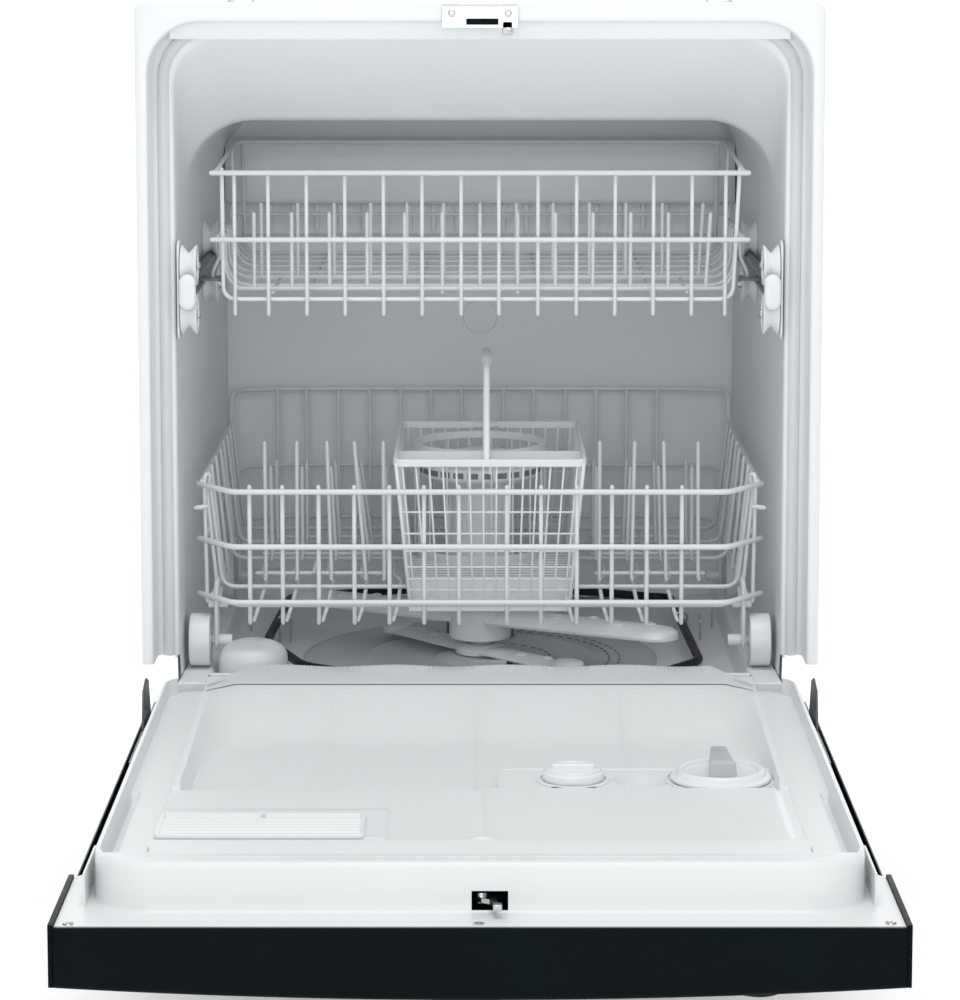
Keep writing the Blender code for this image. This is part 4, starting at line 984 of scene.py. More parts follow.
def basket():
    """A moulded lattice basket round the tower. Its front compartment hangs between the floor wires."""
    top_left, top_right, low_left, low_right = -0.0790, 0.0970, -0.0655, 0.0836
    rows, low_row = (0.3957, 0.3756, 0.3592, 0.3442, 0.3330), 0.3226
    rim_profile = [
        (0.0006, 0.4380), (0.0, 0.4386), (0.0, 0.4444), (0.0008, 0.4450), (0.0030, 0.4450), (0.0038, 0.4444),
        (0.0038, 0.4386), (0.0032, 0.4380), (0.0006, 0.4380),
    ]
    shapes = [inset_loft(top_left, top_right, 0.1400, 0.3815, 0.009, rim_profile, 6, caps=(False, False))]

    def side_at(z):
        share = (BASKET_RIM - z) / (BASKET_RIM - BASKET_DEEP)
        return top_left + (low_left - top_left) * share, top_right + (low_right - top_right) * share

    def front_at(z):
        return 0.1420 + (BASKET_RIM - z) * 0.066

    bars = []
    for share in evenly(0.045, 0.955, 14):
        path = []
        for z in (0.4400, BASKET_DEEP + 0.006):
            left, right = side_at(z)
            path.append((left + (right - left) * share, front_at(z), z))
        bars.append((path, 0.00105))
    for z in rows + (low_row,):
        left, right = side_at(z)
        bars.append(
            ([(left + 0.002, front_at(z) + 0.0004, z), (right - 0.002, front_at(z) + 0.0004, z)], 0.0010)
        )
    for side in (0, 1):
        for y in evenly(0.156, 0.370, 20):
            path = [
                (side_at(z)[side] + (0.002 if side == 0 else -0.002), y, z)
                for z in (0.4400, BASKET_FOOT + 0.002)
            ]
            bars.append((path, 0.0010))
        for z in rows:
            x = side_at(z)[side] + (0.002 if side == 0 else -0.002)
            bars.append(([(x, front_at(z) + 0.002, z), (x, 0.3745, z)], 0.0010))
        x = side_at(low_row)[side] + (0.002 if side == 0 else -0.002)
        bars.append(([(x, 0.1520, low_row), (x, 0.1770, low_row)], 0.0010))
        corner = []
        for z in (0.4400, BASKET_DEEP + 0.003):
            corner.append((side_at(z)[side] + (0.0022 if side == 0 else -0.0022), front_at(z) + 0.0010, z))
        bars.append((corner, 0.0019))
        corner = []
        for z in (0.4400, BASKET_FOOT + 0.003):
            corner.append(
                (side_at(z)[side] + (0.0022 if side == 0 else -0.0022), 0.3765 - (BASKET_RIM - z) * 0.03, z)
            )
        bars.append((corner, 0.0019))
    for share in evenly(0.045, 0.955, 14):
        path = []
        for z in (0.4400, BASKET_FOOT + 0.002):
            left, right = side_at(z)
            path.append((left + (right - left) * share, 0.3775 - (BASKET_RIM - z) * 0.03, z))
        bars.append((path, 0.00105))
    for z in rows:
        left, right = side_at(z)
        y = 0.3775 - (BASKET_RIM - z) * 0.03
        bars.append(([(left + 0.002, y, z), (right - 0.002, y, z)], 0.0010))
    # The floor's bars stop at the well that the tower stands in.
    for y in evenly(0.188, 0.366, 15):
        reach = math.sqrt(max(0.0, 0.0622 ** 2 - (y - TOWER_Y) ** 2))
        left, right = side_at(BASKET_FOOT)
        for start, end in ((left + 0.002, -reach), (reach, right - 0.002)) if reach else (
            (left + 0.002, right - 0.002),
        ):
            if end - start > 0.003:
                bars.append(([(start, y, BASKET_FOOT + 0.0012), (end, y, BASKET_FOOT + 0.0012)], 0.0012))
    shapes.append(wires(bars, 0.001, 6))
    left, right = side_at(BASKET_DEEP + 0.005)
    shapes.append(slab((left + 0.001, 0.1500, BASKET_DEEP), (right - 0.001, 0.1530, 0.3116)))
    shapes.append(slab((left + 0.001, 0.1526, BASKET_DEEP), (right - 0.001, 0.1785, BASKET_DEEP + 0.0016)))
    shapes.append(
        slab((left + 0.001, 0.1768, BASKET_DEEP + 0.001), (right - 0.001, 0.1785, BASKET_FOOT + 0.0020))
    )
    for x in (left + 0.0010, right - 0.0026):
        shapes.append(slab((x, 0.1515, BASKET_DEEP), (x + 0.0016, 0.1780, BASKET_DEEP + 0.0110)))
    left, right = side_at(BASKET_FOOT)
    for x in (left + 0.0012, right - 0.0032):
        shapes.append(slab((x, 0.1768, BASKET_FOOT), (x + 0.0020, 0.3735, BASKET_FOOT + 0.0090)))
    shapes.append(slab((left + 0.001, 0.3715, BASKET_FOOT), (right - 0.001, 0.3735, BASKET_FOOT + 0.0090)))
    well = [
        (0.0612, BASKET_FOOT), (0.0628, BASKET_FOOT), (0.0628, BASKET_FOOT + 0.010),
        (0.0612, BASKET_FOOT + 0.010),
    ]
    shapes.append(lathe(well, (0, TOWER_Y, 0), "Z", 48, True))
    collar = [(0.0612, 0.4300), (0.0630, 0.4300), (0.0630, 0.4370), (0.0612, 0.4370)]
    shapes.append(lathe(collar, (0, TOWER_Y, 0), "Z", 48, True))
    posts = []
    for step in range(18):
        angle = 2 * math.pi * step / 18
        x, y = 0.0620 * math.cos(angle), TOWER_Y + 0.0620 * math.sin(angle)
        posts.append(([(x, y, BASKET_FOOT + 0.006), (x, y, 0.4340)], 0.0010))
    shapes.append(wires(posts, 0.001, 6))
    # Gussets tie the well to the rim.
    for x, y0, y1 in ((0.009, 0.1430, 0.2462), (0.009, 0.3700, 0.3795)):
        shapes.append(slab((x - 0.0008, y0, 0.4310), (x + 0.0008, y1, 0.4395)))
    left, right = side_at(0.435)
    shapes.append(slab((left + 0.002, 0.2292, 0.4310), (right - 0.002, 0.2308, 0.4390)))
    piece(
        "basket_lattice", merged(*shapes), "silverware_basket_body", BASKET_WHITE,
        replaces="silverware_basket", bevel=0.00035, segments=2, angle=40,
    )
    path = fillet(
        [
            (0.006, 0.1440, 0.4410), (0.006, 0.2000, 0.5230), (0.006, 0.3200, 0.5230),
            (0.006, 0.3790, 0.4410),
        ],
        0.034, 10,
    )
    grip = [(0.006, y, 0.5232) for y in (0.222, 0.262, 0.300)]
    feet = [([(-0.004, y, 0.4410), (0.016, y, 0.4410)], 0.0030) for y in (0.1445, 0.3775)]
    piece(
        "basket_handle", wires([(path, 0.0031), (grip, 0.0046), *feet], 0.003, 14),
        "silverware_basket_body", BASKET_WHITE, angle=50,
    )


def wash_tower():
    profile = [
        (0.0185, 0.3012), (0.0255, 0.3012), (0.0262, 0.3020), (0.0300, 0.3120), (0.0345, 0.3215),
        (0.0350, 0.3228), (0.0590, 0.3228), (0.0596, 0.3234), (0.0590, 0.3243), (0.0350, 0.3250),
        (0.0335, 0.3260), (0.0300, 0.3420), (0.0285, 0.3700), (0.0290, 0.3880), (0.0330, 0.3960),
        (0.0450, 0.4010), (0.0555, 0.4045), (0.0575, 0.4060), (0.0580, 0.4075), (0.0580, 0.4150),
        (0.0574, 0.4165), (0.0555, 0.4176), (0.0420, 0.4230), (0.0300, 0.4262), (0.0260, 0.4270),
        (0.0180, 0.4276), (0.0150, 0.4292), (0.0060, 0.4300), (0, 0.4300), (0, 0.4270), (0.0180, 0.4180),
    ]
    body = lathe(profile, (0, TOWER_Y, 0), "Z", 64, True)
    ribs = []
    for step in range(8):
        angle = 2 * math.pi * step / 8 + 0.2
        rib = extruded(
            [
                (0.0270, 0.3250), (0.0340, 0.3250), (0.0322, 0.3400), (0.0302, 0.3860), (0.0340, 0.3975),
                (0.0270, 0.3975),
            ],
            "Y", -0.0008, 0.0008,
        )
        ribs.append(spun(rib, angle, (0, TOWER_Y, 0)))
    piece("tower_body", merged(body, *ribs), "lower_rack_body", WHITE, replaces="wash_tower", angle=40)
    # Painted shade: dark pieces set into the cap's rim stand in for its slots.
    slot_shade_pieces = []
    for angle in turns(26):
        slot_shade_pieces.append(spun(slab((0.0560, -0.0052, 0.4085), (0.05815, 0.0052, 0.4140)), angle, (0, TOWER_Y, 0)))
        slot_shade_pieces.append(spun(slab((0.0440, -0.0034, 0.4190), (0.0500, 0.0034, 0.4213)), angle, (0, TOWER_Y, 0)))
    piece("tower_slot_shade", merged(*slot_shade_pieces), "lower_rack_body", GREY_AND_HOLE_SHADE, bevel=0.0003, segments=2)


# ---------------------------------------------------------------- wash system
def blade(shape_list, reach, width, tip_width, low, high, turn, start):
    """One half of a spray arm, domed above and flat below, from its hub to a round tip."""
    loops = []
    tip = tip_width / 2
    for share in [i / 14 for i in range(15)]:
        s = start + (reach - tip - start) * share
        loops.append((s, width / 2 + (tip - width / 2) * smooth(0, 1, share), 1.0))
    for step in range(1, 9):
        angle = math.pi / 2 * step / 8
        loops.append(
            (
                reach - tip + tip * math.sin(angle), max(tip * math.cos(angle), 0.0008),
                0.45 + 0.55 * math.cos(angle),
            )
        )
    rings = []
    for s, half, rise in loops:
        ring = []
        for step in range(13):
            u = -1 + 2 * step / 12
            crown = (1 - abs(u) ** 2.6) ** 0.75
            ring.append((s, u * half, low + (high - low) * (0.22 + 0.78 * rise * crown)))
        ring += [(s, half * 0.97, low), (s, half * 0.4, low), (s, -half * 0.4, low), (s, -half * 0.97, low)]
        rings.append(ring)
    for extra in (0, math.pi):
        shape_list.append(spun(loft(rings, True, (True, True)), turn + extra, (HUB.x, HUB.y, 0)))


def spray_arm(node, reach, width, tip_width, low, high, degrees, hub_radius, hub_foot, holes, pod):
    turn = math.radians(degrees)
    shapes = []
    blade(shapes, reach, width, tip_width, low, high, turn, hub_radius * 0.6)
    hub = [
        (0.0117, hub_foot), (hub_radius - 0.0010, hub_foot), (hub_radius, hub_foot + 0.0010),
        (hub_radius, low + 0.003), (hub_radius, high - 0.002), (hub_radius - 0.003, high + 0.0008),
        (0.0150, high + 0.0016), (0.0117, high + 0.0010),
    ]
    shapes.append(lathe(hub, (HUB.x, HUB.y, 0), "Z", 40, True))
    hole_shade = []
    for s, across in holes:
        for sign in (1, -1):
            flat = Matrix.Rotation(turn, 2) @ Vector((s * sign, across))
            spot = (HUB.x + flat.x, HUB.y + flat.y, high)
            shapes.append(lathe(
                [(0.0022, -0.0030), (0.0052, -0.0030), (0.0048, 0.0003), (0.0042, 0.0008), (0.0026, 0.0008),
                 (0.0022, 0.0002)], spot, "Z", 20, True))
            # Painted shade: a dark disc inside each nozzle's ring stands in for the hole.
            hole_shade.append(
                lathe([(0, -0.0026), (0.0024, -0.0026), (0.0024, 0.0001), (0, 0.0001)], spot, "Z", 14)
            )
    if pod:
        for sign in (1, -1):
            flat = Matrix.Rotation(turn, 2) @ Vector((pod[0] * sign, 0))
            spot = (HUB.x + flat.x, HUB.y + flat.y, 0)
            shapes.append(
                lathe(
                    [
                        (0, low - 0.001), (pod[1] - 0.001, low - 0.001), (pod[1], low),
                        (pod[1], high + 0.0005), (pod[1] - 0.0015, high + 0.0022),
                        (pod[1] * 0.6, high + 0.0036), (0, high + 0.0040),
                    ],
                    spot, "Z", 32,
                )
            )
    body = f"{node}_body"
    piece(f"{node}_shell", merged(*shapes), body, ARM_GREY, replaces=node, angle=40)
    piece(f"{node}_holes", merged(*hole_shade), body, GREY_AND_HOLE_SHADE)


def heater():
    z, front = 0.2500, 0.130
    path = [
        (-0.120, front, 0.1965), (-0.120, front, z), (-0.162, 0.158, z), (-0.2025, 0.270, z),
        (-0.192, 0.480, z), *[(x, 0.529 - 0.055 * (x / 0.19) ** 2, z) for x in evenly(-0.17, 0.17, 9)],
        (0.192, 0.480, z), (0.2035, 0.180, z), (0.165, front, z), (-0.085, front, z),
        (-0.085, front, 0.1965),
    ]
    radii = [0, 0.010, 0.05, 0.10, 0.035] + [0.06] * 9 + [0.035, 0.04, 0.03, 0.010, 0]
    piece("heater_loop", wires([(fillet(path, radii, 8), 0.0042)], 0.0042, 14), "cabinet", SHEATH,
          replaces="heater_element", angle=50)
    nuts = []
    for x in (-0.120, -0.085):
        hexagon = circle(x, front, 0.0090, 6)
        nuts.append(extruded(hexagon, "Z", 0.2262, 0.2320))
        nuts.append(extruded(hexagon, "Z", 0.2060, 0.2120))
        nuts.append(
            lathe(
                [(0.0048, 0.2320), (0.0075, 0.2320), (0.0068, 0.2348), (0.0048, 0.2348)], (x, front, 0),
                "Z", 24, True,
            )
        )
    piece("heater_nuts", merged(*nuts), "cabinet", FILTER_GREY, bevel=0.0008, angle=35)
    clips = []
    for x, y, across in (
        (-0.1905, 0.3578, 1), (-0.2260, 0.3919, 0), (0.1972, 0.3723, 1), (0.2149, 0.3578, 0),
        (0.2300, 0.4067, 0),
    ):
        foot = FLOOR + 0.004
        near = -1 if x < 0 else 1
        clips.append(
            fillet(
                [
                    (x - 0.005 * near, y, foot), (x - 0.0065 * near, y, 0.2545), (x, y, 0.2575),
                    (x + 0.0065 * near, y, 0.2545), (x + 0.005 * near, y, foot),
                ] if across else [(x, y, foot), (x, y, 0.2520), (x, y + 0.012, 0.2540)],
                0.003, 4,
            )
        )
    piece("heater_clips", wires(clips, 0.0012, 8), "cabinet", STEEL, angle=50)


def float_dome():
    profile = [
        (0, -0.0200), (0.0050, -0.0200), (0.0055, -0.0195), (0.0055, 0.0110), (0.0295, 0.0110),
        (0.0308, 0.0118), (0.0312, 0.0130), (0.0314, 0.0370), (0.0308, 0.0410), (0.0290, 0.0446),
        (0.0255, 0.0480), (0.0200, 0.0508), (0.0120, 0.0530), (0, 0.0538),
    ]
    dome = lathe(profile, (-0.207, 0.138, FLOOR), "Z", 56)
    piece("float_dome", dome, "float_body", WHITE, replaces="float", angle=40)


def sump_and_filter():
    plate = [
        (0.0115, 0.0004), (0.0845, 0.0004), (0.1690, 0.0004), (0.1700, 0.0010), (0.1700, 0.0022),
        (0.1690, 0.0030), (0.1620, 0.0030), (0.1600, 0.0022), (0.1120, 0.0014), (0.1090, 0.0034),
        (0.1060, 0.0034), (0.1030, 0.0014), (0.0420, 0.0016), (0.0400, 0.0036), (0.0300, 0.0056),
        (0.0112, 0.0056),
    ]
    shapes = [lathe(plate, HUB, "Z", 72, True)]
    column = [
        (0, 0.0040), (0.0108, 0.0040), (0.0108, 0.0560), (0.0100, 0.0592), (0.0060, 0.0598), (0, 0.0598)
    ]
    shapes.append(lathe(column, HUB, "Z", 32))
    cup = [
        (0, 0.1200 - FLOOR), (0.0600, 0.1200 - FLOOR), (0.0640, 0.1215 - FLOOR), (0.0770, 0.1400 - FLOOR),
        (0.0785, 0.1440 - FLOOR), (0.0840, 0.2140 - FLOOR), (0.0840, 0.0002), (0, 0.0002),
    ]
    shapes.append(lathe(cup, HUB, "Z", 56))
    for angle in turns(12):
        rib = extruded(
            [(0.0600, 0.1230), (0.0660, 0.1230), (0.0800, 0.1430), (0.0843, 0.2120), (0.0780, 0.2120)], "Y",
            -0.0012, 0.0012,
        )
        shapes.append(spun(rib, angle, (HUB.x, HUB.y, 0)))
    piece("sump_moulding", merged(*shapes), "cabinet", FILTER_GREY, replaces="sump_housing", angle=40)
    # Painted shade in the slots of the coarse filter, in rings: thin dark pieces stand in for the openings.
    slot_shade_pieces = []
    for radius, count in ((0.068, 14), (0.124, 26), (0.134, 26)):
        for angle in evenly(-1.10, 1.25, count):
            slot_shade_piece = extruded(
                rounded(radius - 0.0012, radius + 0.0012, -0.0036, 0.0036, 0.0010, 2), "Z", 0.0011, 0.0019
            )
            slot_shade_pieces.append(spun(slot_shade_piece, angle, HUB))
    piece("filter_slot_shade", merged(*slot_shade_pieces), "cabinet", SLOT_SHADE)
    # The fine filter's lid stands up in front of the hub, with a finger grip.
    lid = [
        (0, 0.0030), (0.0210, 0.0030), (0.0210, 0.0040), (0.0200, 0.0058), (0.0160, 0.0064), (0.0140, 0.0050),
        (0.0060, 0.0050), (0.0050, 0.0062), (0, 0.0062),
    ]
    knob = slab((-0.0110, 0.2320, FLOOR + 0.0040), (0.0250, 0.2380, FLOOR + 0.0130))
    posts = [
        slab((x, 0.2325, FLOOR + 0.0030), (x + 0.003, 0.2520, FLOOR + 0.0100))
        for x in (-0.0100, 0.0060, 0.0210)
    ]
    piece(
        "fine_filter_lid", merged(lathe(lid, (0.007, 0.2380, FLOOR), "Z", 40), knob, *posts), "cabinet",
        FILTER_GREY, bevel=0.0008, angle=35,
    )
    # A dark inlet guard stands behind the hub.
    block = inset_loft(
        -0.0330, 0.0335, 0.3930, 0.4300, 0.006,
        [(0.0, FLOOR + 0.0008), (0.0, FLOOR + 0.0150), (0.002, FLOOR + 0.0180)], 5, caps=(True, True),
    )
    bars = [
        slab((x, 0.3915, FLOOR + 0.0020), (x + 0.0022, 0.3940, FLOOR + 0.0145))
        for x in evenly(-0.030, 0.029, 9)
    ]
    piece("inlet_guard", merged(block, *bars), "cabinet", GREY_AND_HOLE_SHADE, bevel=0.0005)


basket()
wash_tower()
spray_arm("lower_spray_arm", 0.2075, 0.052, 0.044, 0.2652, 0.2764, -28, 0.0295, 0.2482,
          [(0.178, 0.006), (0.150, -0.007), (0.118, 0.007), (0.085, -0.006)], None)
spray_arm("filter_spray_arm", 0.1375, 0.036, 0.030, 0.2352, 0.2410, -48, 0.0236, 0.2327,
          [(0.090, 0.004), (0.062, -0.004)], (0.1215, 0.0158))
heater()
float_dome()
sump_and_filter()


# ---------------------------------------------------------------- door liner
LINER_HALF, LINER_END, LINER_HEEL = 0.278, -0.568, 0.040
FLANGE, LINER_FLOOR, LINER_LAND = 0.2315, 0.2450, 0.2620
TRACK_LOW, TRACK_HIGH = 0.2430, 0.2732
PANEL_EDGES = (-0.125, -0.003, 0.120)


def stepped(value, *stops):
    """A height read off straight lines between stops of (place, height)."""
    if value <= stops[0][0]:
        return stops[0][1]
    for (a, low), (b, high) in zip(stops, stops[1:]):
        if value <= b:
            return low + (high - low) * (value - a) / (b - a)
    return stops[-1][1]


def end_profile(y):
    """From the far rim, over its grooves and the sloping band, to the raised land."""
    return stepped(
        y, (-0.568, 0.2645), (-0.5676, 0.2662), (-0.5662, 0.2675), (-0.5630, 0.2680), (-0.5532, 0.2676),
        (-0.5524, 0.2664), (-0.5514, 0.2664), (-0.5506, 0.2674), (-0.5404, 0.2670), (-0.5394, 0.2652),
        (-0.5380, 0.2648), (-0.5365, 0.2656), (-0.5130, 0.2686), (-0.5105, 0.2688), (-0.5085, 0.2682),
        (-0.5010, LINER_LAND + 0.0004), (-0.4980, LINER_LAND),
    )


def inner_height(x, y):
    """The liner between the two tracks."""
    if y < -0.4980:
        height = end_profile(y)
        if y > -0.5105:
            height += 0.0022 * math.exp(-((x - 0.002) / 0.010) ** 2) * smooth(-0.4980, -0.5060, y)
        return height
    if y < -0.3300:
        height = LINER_LAND - 0.0020
        side = smooth(0.0020, 0.0060, x) * (1 - smooth(0.2285, 0.2325, x))
        height += 0.0018 * side
        pad = smooth(-0.0676, -0.0710, x) * smooth(-0.4860, -0.4825, y) * (1 - smooth(-0.3990, -0.3955, y))
        height += 0.0022 * pad
        height += 0.0030 * math.exp(-((x + 0.001) / 0.009) ** 2) * smooth(-0.462, -0.490, y)
        drop = smooth(-0.3340, -0.3300, y)
        return height + (LINER_FLOOR - height) * drop * (1 if abs(x) < 0.233 else 0)
    top = 0.2625 + 0.0049 * smooth(-0.300, -0.010, y)
    width = 0.0045 + 0.040 * smooth(-0.230, -0.020, y)
    across = min(1.0, max(0.0, (0.2335 - abs(x)) / width))
    along = min(1.0, max(0.0, (0.006 - y) / 0.135))
    depth = 1 - min(1.0, math.hypot(1 - across, 1 - along))
    depth = depth * depth * (3 - 2 * depth) * 0.35 + depth * 0.65
    height = top - (top - LINER_FLOOR) * depth
    edges = (-0.234, *PANEL_EDGES, 0.234)
    for start, end in zip(edges, edges[1:]):
        if start <= x < end:
            share = (x - start) / (end - start)
            crease = 0.0034 * abs(2 * share - 1) ** 9 + 0.0016 * share
            height += crease * smooth(0.0, -0.090, y)
    return height


def liner_height(x, y):
    size = abs(x)
    inset = LINER_HALF - size
    rim = 0.2680 - stepped(inset, (0.0, 0.0035), (0.0004, 0.0018), (0.0018, 0.0005), (0.0045, 0.0))
    if y < -0.5394:
        return min(end_profile(y), rim)
    heel = stepped(LINER_HEEL - y, (0.0, 0.0030), (0.0004, 0.0015), (0.0018, 0.0004), (0.0040, 0.0))
    if size <= 0.2400:
        return inner_height(x, y) - heel
    if size >= 0.2745:
        return rim - heel
    track = 0.2533 + 0.0095 * (1 - smooth(-0.5394, -0.5310, y))
    pocket = smooth(-0.5230, -0.5200, y) * (1 - smooth(-0.3200, -0.3170, y)) * smooth(0.2652, 0.2666, size)
    track -= 0.0068 * pocket * (1 - smooth(0.2720, 0.2732, size))
    if size < TRACK_LOW:
        return track + (inner_height(x, y) - heel - track) * (1 - smooth(0.2400, TRACK_LOW, size))
    if size > TRACK_HIGH:
        return track + (rim - heel - track) * smooth(TRACK_HIGH, 0.2745, size)
    return track


def cornered(x, y):
    """A place of the square grid, drawn in so that the liner's corners are round."""
    radius = 0.045 if y < -0.2 else 0.030
    centre_x = math.copysign(LINER_HALF - radius, x)
    centre_y = LINER_END + radius if y < -0.2 else LINER_HEEL - radius
    across = abs(x) - abs(centre_x)
    along = centre_y - y if y < -0.2 else y - centre_y
    if across <= 0 or along <= 0:
        return x, y
    scale = max(across, along) / math.hypot(across, along)
    return centre_x + (x - centre_x) * scale, centre_y + (y - centre_y) * scale


def liner():
    half = [
        0.0, 0.012, 0.0240, 0.0360, 0.0480, 0.0600, 0.0660, 0.0680, 0.0700, 0.0720, 0.0840, 0.0960, 0.1080,
        0.1140,
    ]
    half += [
        0.1170, 0.1190, 0.1210, 0.1230, 0.1250, 0.1270, 0.1300, 0.1400, 0.1520, 0.1640, 0.1760, 0.1860,
        0.1950, 0.2030,
    ]
    half += [
        0.2100, 0.2150, 0.2200, 0.2240, 0.2270, 0.2290, 0.2305, 0.2320, 0.2335, 0.2350, 0.2375, 0.2400,
        0.2408, 0.2415,
    ]
    half += [
        0.2422, 0.2430, 0.2470, 0.2530, 0.2600, 0.2640, 0.2652, 0.2659, 0.2666, 0.2690, 0.2720, 0.2726,
        0.2732, 0.2738,
    ]
    half += [0.2745, 0.2755, 0.2762, 0.2770, 0.2776, 0.2780]
    xs = sorted(
        set(
            [-x for x in half] + half + [-0.0060, -0.0045, -0.0030, -0.0015, 0.0020, 0.0040, 0.0060, 0.0200]
        )
    )
    ys = [
        -0.568, -0.5678, -0.5676, -0.5670, -0.5662, -0.5648, -0.5630, -0.5580, -0.5532, -0.5524, -0.5514,
        -0.5506, -0.5450,
    ]
    ys += [
        -0.5404, -0.5394, -0.5380, -0.5365, -0.5310, -0.5230, -0.5215, -0.5200, -0.5130, -0.5105, -0.5085,
        -0.5060, -0.5035,
    ]
    ys += [
        -0.5010, -0.4980, -0.4940, -0.4900, -0.4860, -0.4843, -0.4825, -0.4780
    ] + evenly(-0.4720, -0.4050, 8)
    ys += [-0.3990, -0.3973, -0.3955] + evenly(-0.388, -0.340, 5) + [
        -0.3340, -0.3330, -0.3320, -0.3310, -0.3300, -0.3270
    ]
    ys += [-0.3200, -0.3185, -0.3170] + evenly(-0.308, -0.012, 30) + [
        -0.0040, 0.0020, 0.0060, 0.0150, 0.0250, 0.0350
    ]
    ys += [0.0360, 0.0382, 0.0392, 0.0396, 0.0398, 0.0400]
    made = bmesh.new()
    grid = []
    for y in ys:
        row = []
        for x in xs:
            flat = cornered(x, y)
            row.append(made.verts.new((flat[0], flat[1], liner_height(x, y))))
        grid.append(row)
    for near, far in zip(grid, grid[1:]):
        for step in range(len(xs) - 1):
            made.faces.new((near[step], near[step + 1], far[step + 1], far[step]))
    border = grid[0][:] + [row[-1] for row in grid[1:]] + grid[-1][-2::-1] + [row[0] for row in grid[-2:0:-1]]
    middle = Vector((0, (LINER_END + LINER_HEEL) / 2))
    rows = [border]
    for share in (0.06, 0.50, 0.72, 0.92, 0.975, 1.0):
        row = []
        for vert in border:
            top = vert.co.z
            if vert.co.y < LINER_END + 1e-5:
                height = {0.50: 0.2470, 0.92: 0.2330}.get(share, top + (FLANGE - top) * share)
            else:
                height = top + (FLANGE - top) * share
            out = 0.0006 * share + (0.0022 if share == 1.0 else 0.0005 if share == 0.975 else 0)
            ahead = Vector((vert.co.x, (vert.co.y - middle.y))).normalized()
            row.append(made.verts.new((vert.co.x + ahead.x * out, vert.co.y + ahead.y * out, height)))
        rows.append(row)
    for level, (upper, lower) in enumerate(zip(rows, rows[1:])):
        for step in range(len(border)):
            after = (step + 1) % len(border)
            a, b = border[step].co, border[after].co
            # The latch's slot is left open in the end wall.
            in_slot = max(a.y, b.y) < LINER_END + 1e-5 and min(a.x, b.x) > -0.0061 and max(a.x, b.x) < 0.0201
            if in_slot and level in (2, 3):
                continue
            made.faces.new((upper[step], upper[after], lower[after], lower[step]))
    bmesh.ops.recalc_face_normals(made, faces=made.faces)
    wide, half_wide, notch = 0.2990, 0.2925, 0.2850
    outline = [
        (-wide, -0.6033), (wide, -0.6033), (wide, -0.478), (half_wide, -0.470), (half_wide, 0.002),
        (notch, 0.002), (notch, 0.0572), (-notch, 0.0572), (-notch, 0.002), (-half_wide, 0.002),
        (-half_wide, -0.470), (-wide, -0.478),
    ]
    flange = extruded(outline, "Z", FLANGE - 0.0018, FLANGE)
    fins = [
        slab((side * 0.2830 - 0.0008, -0.5560, FLANGE - 0.0005), (side * 0.2830 + 0.0008, -0.4800, 0.2560))
        for side in SIDES.values()
    ]
    piece("liner_moulding", merged(made, flange, *fins), "door", LINER_WHITE, replaces="door_liner", angle=48)
    recess = merged(
        slab((-0.0075, LINER_END + 0.0300, 0.2322), (0.0215, LINER_END + 0.0312, 0.2480)),
        slab((-0.0075, LINER_END + 0.0006, 0.2471), (0.0215, LINER_END + 0.0312, 0.2480)),
        slab((-0.0075, LINER_END + 0.0006, 0.2318), (0.0215, LINER_END + 0.0312, 0.2326)),
        slab((-0.0075, LINER_END + 0.0006, 0.2320), (-0.0062, LINER_END + 0.0312, 0.2480)),
        slab((0.0202, LINER_END + 0.0006, 0.2320), (0.0215, LINER_END + 0.0312, 0.2480)),
    )
    piece("latch_recess", recess, "door", BLACK_PLASTIC_AND_SLOT_SHADE)
    screws = [
        screw_head((x, y, FLANGE), "Z", 1, 0.0042, 0.0016)
        for x, y in ((-0.2895, -0.5975), (0.2890, -0.5955))
    ]
    screws.append(screw_head((-0.0010, -0.5965, FLANGE), "Z", 1, 0.0042, 0.0006))
    for side in SIDES.values():
        screws += [
            screw_head((side * 0.2865, y, FLANGE), "Z", 1, 0.0032, 0.0014)
            for y in (-0.440, -0.300, -0.160, -0.030)
        ]
    piece("liner_screws", merged(*screws), "door", STEEL)


def heel_seal():
    """The splash seal at the liner's heel, ribbed from front to back."""
    loops = []
    count = 300
    for step in range(count + 1):
        x = -0.2375 + 0.4750 * step / count
        size = abs(x)
        back = 0.0680 if size < 0.2050 else 0.0680 - (size - 0.2050) / 0.0325 * 0.0720
        front = 0.0035 if size < 0.2140 else 0.0035 - (size - 0.2140) / 0.0235 * 0.0260
        ridge = 0.0007 if step % 2 and size < 0.2120 else 0.0002
        wave = 0.0009 * math.sin(x * 62) if size < 0.2050 else 0
        base = 0.2690
        loops.append(
            [
                (x, front, base - 0.0006), (x, front + 0.0010, base + 0.0002),
                (x, front + 0.0200, base + 0.0007),
                (x, front + (back - front) * 0.55, base + 0.0009 + ridge),
                (x, back - 0.0015, base + 0.0012 + ridge + wave), (x, back, base + 0.0008 + wave),
                (x, back - 0.0006, base - 0.0006 + wave * 0.5),
                (x, front + (back - front) * 0.50, base - 0.0006),
            ]
        )
    piece(
        "heel_seal_strip", loft(loops, True, (True, True)), "door", RUBBER, replaces="splash_seal",
        angle=30,
    )


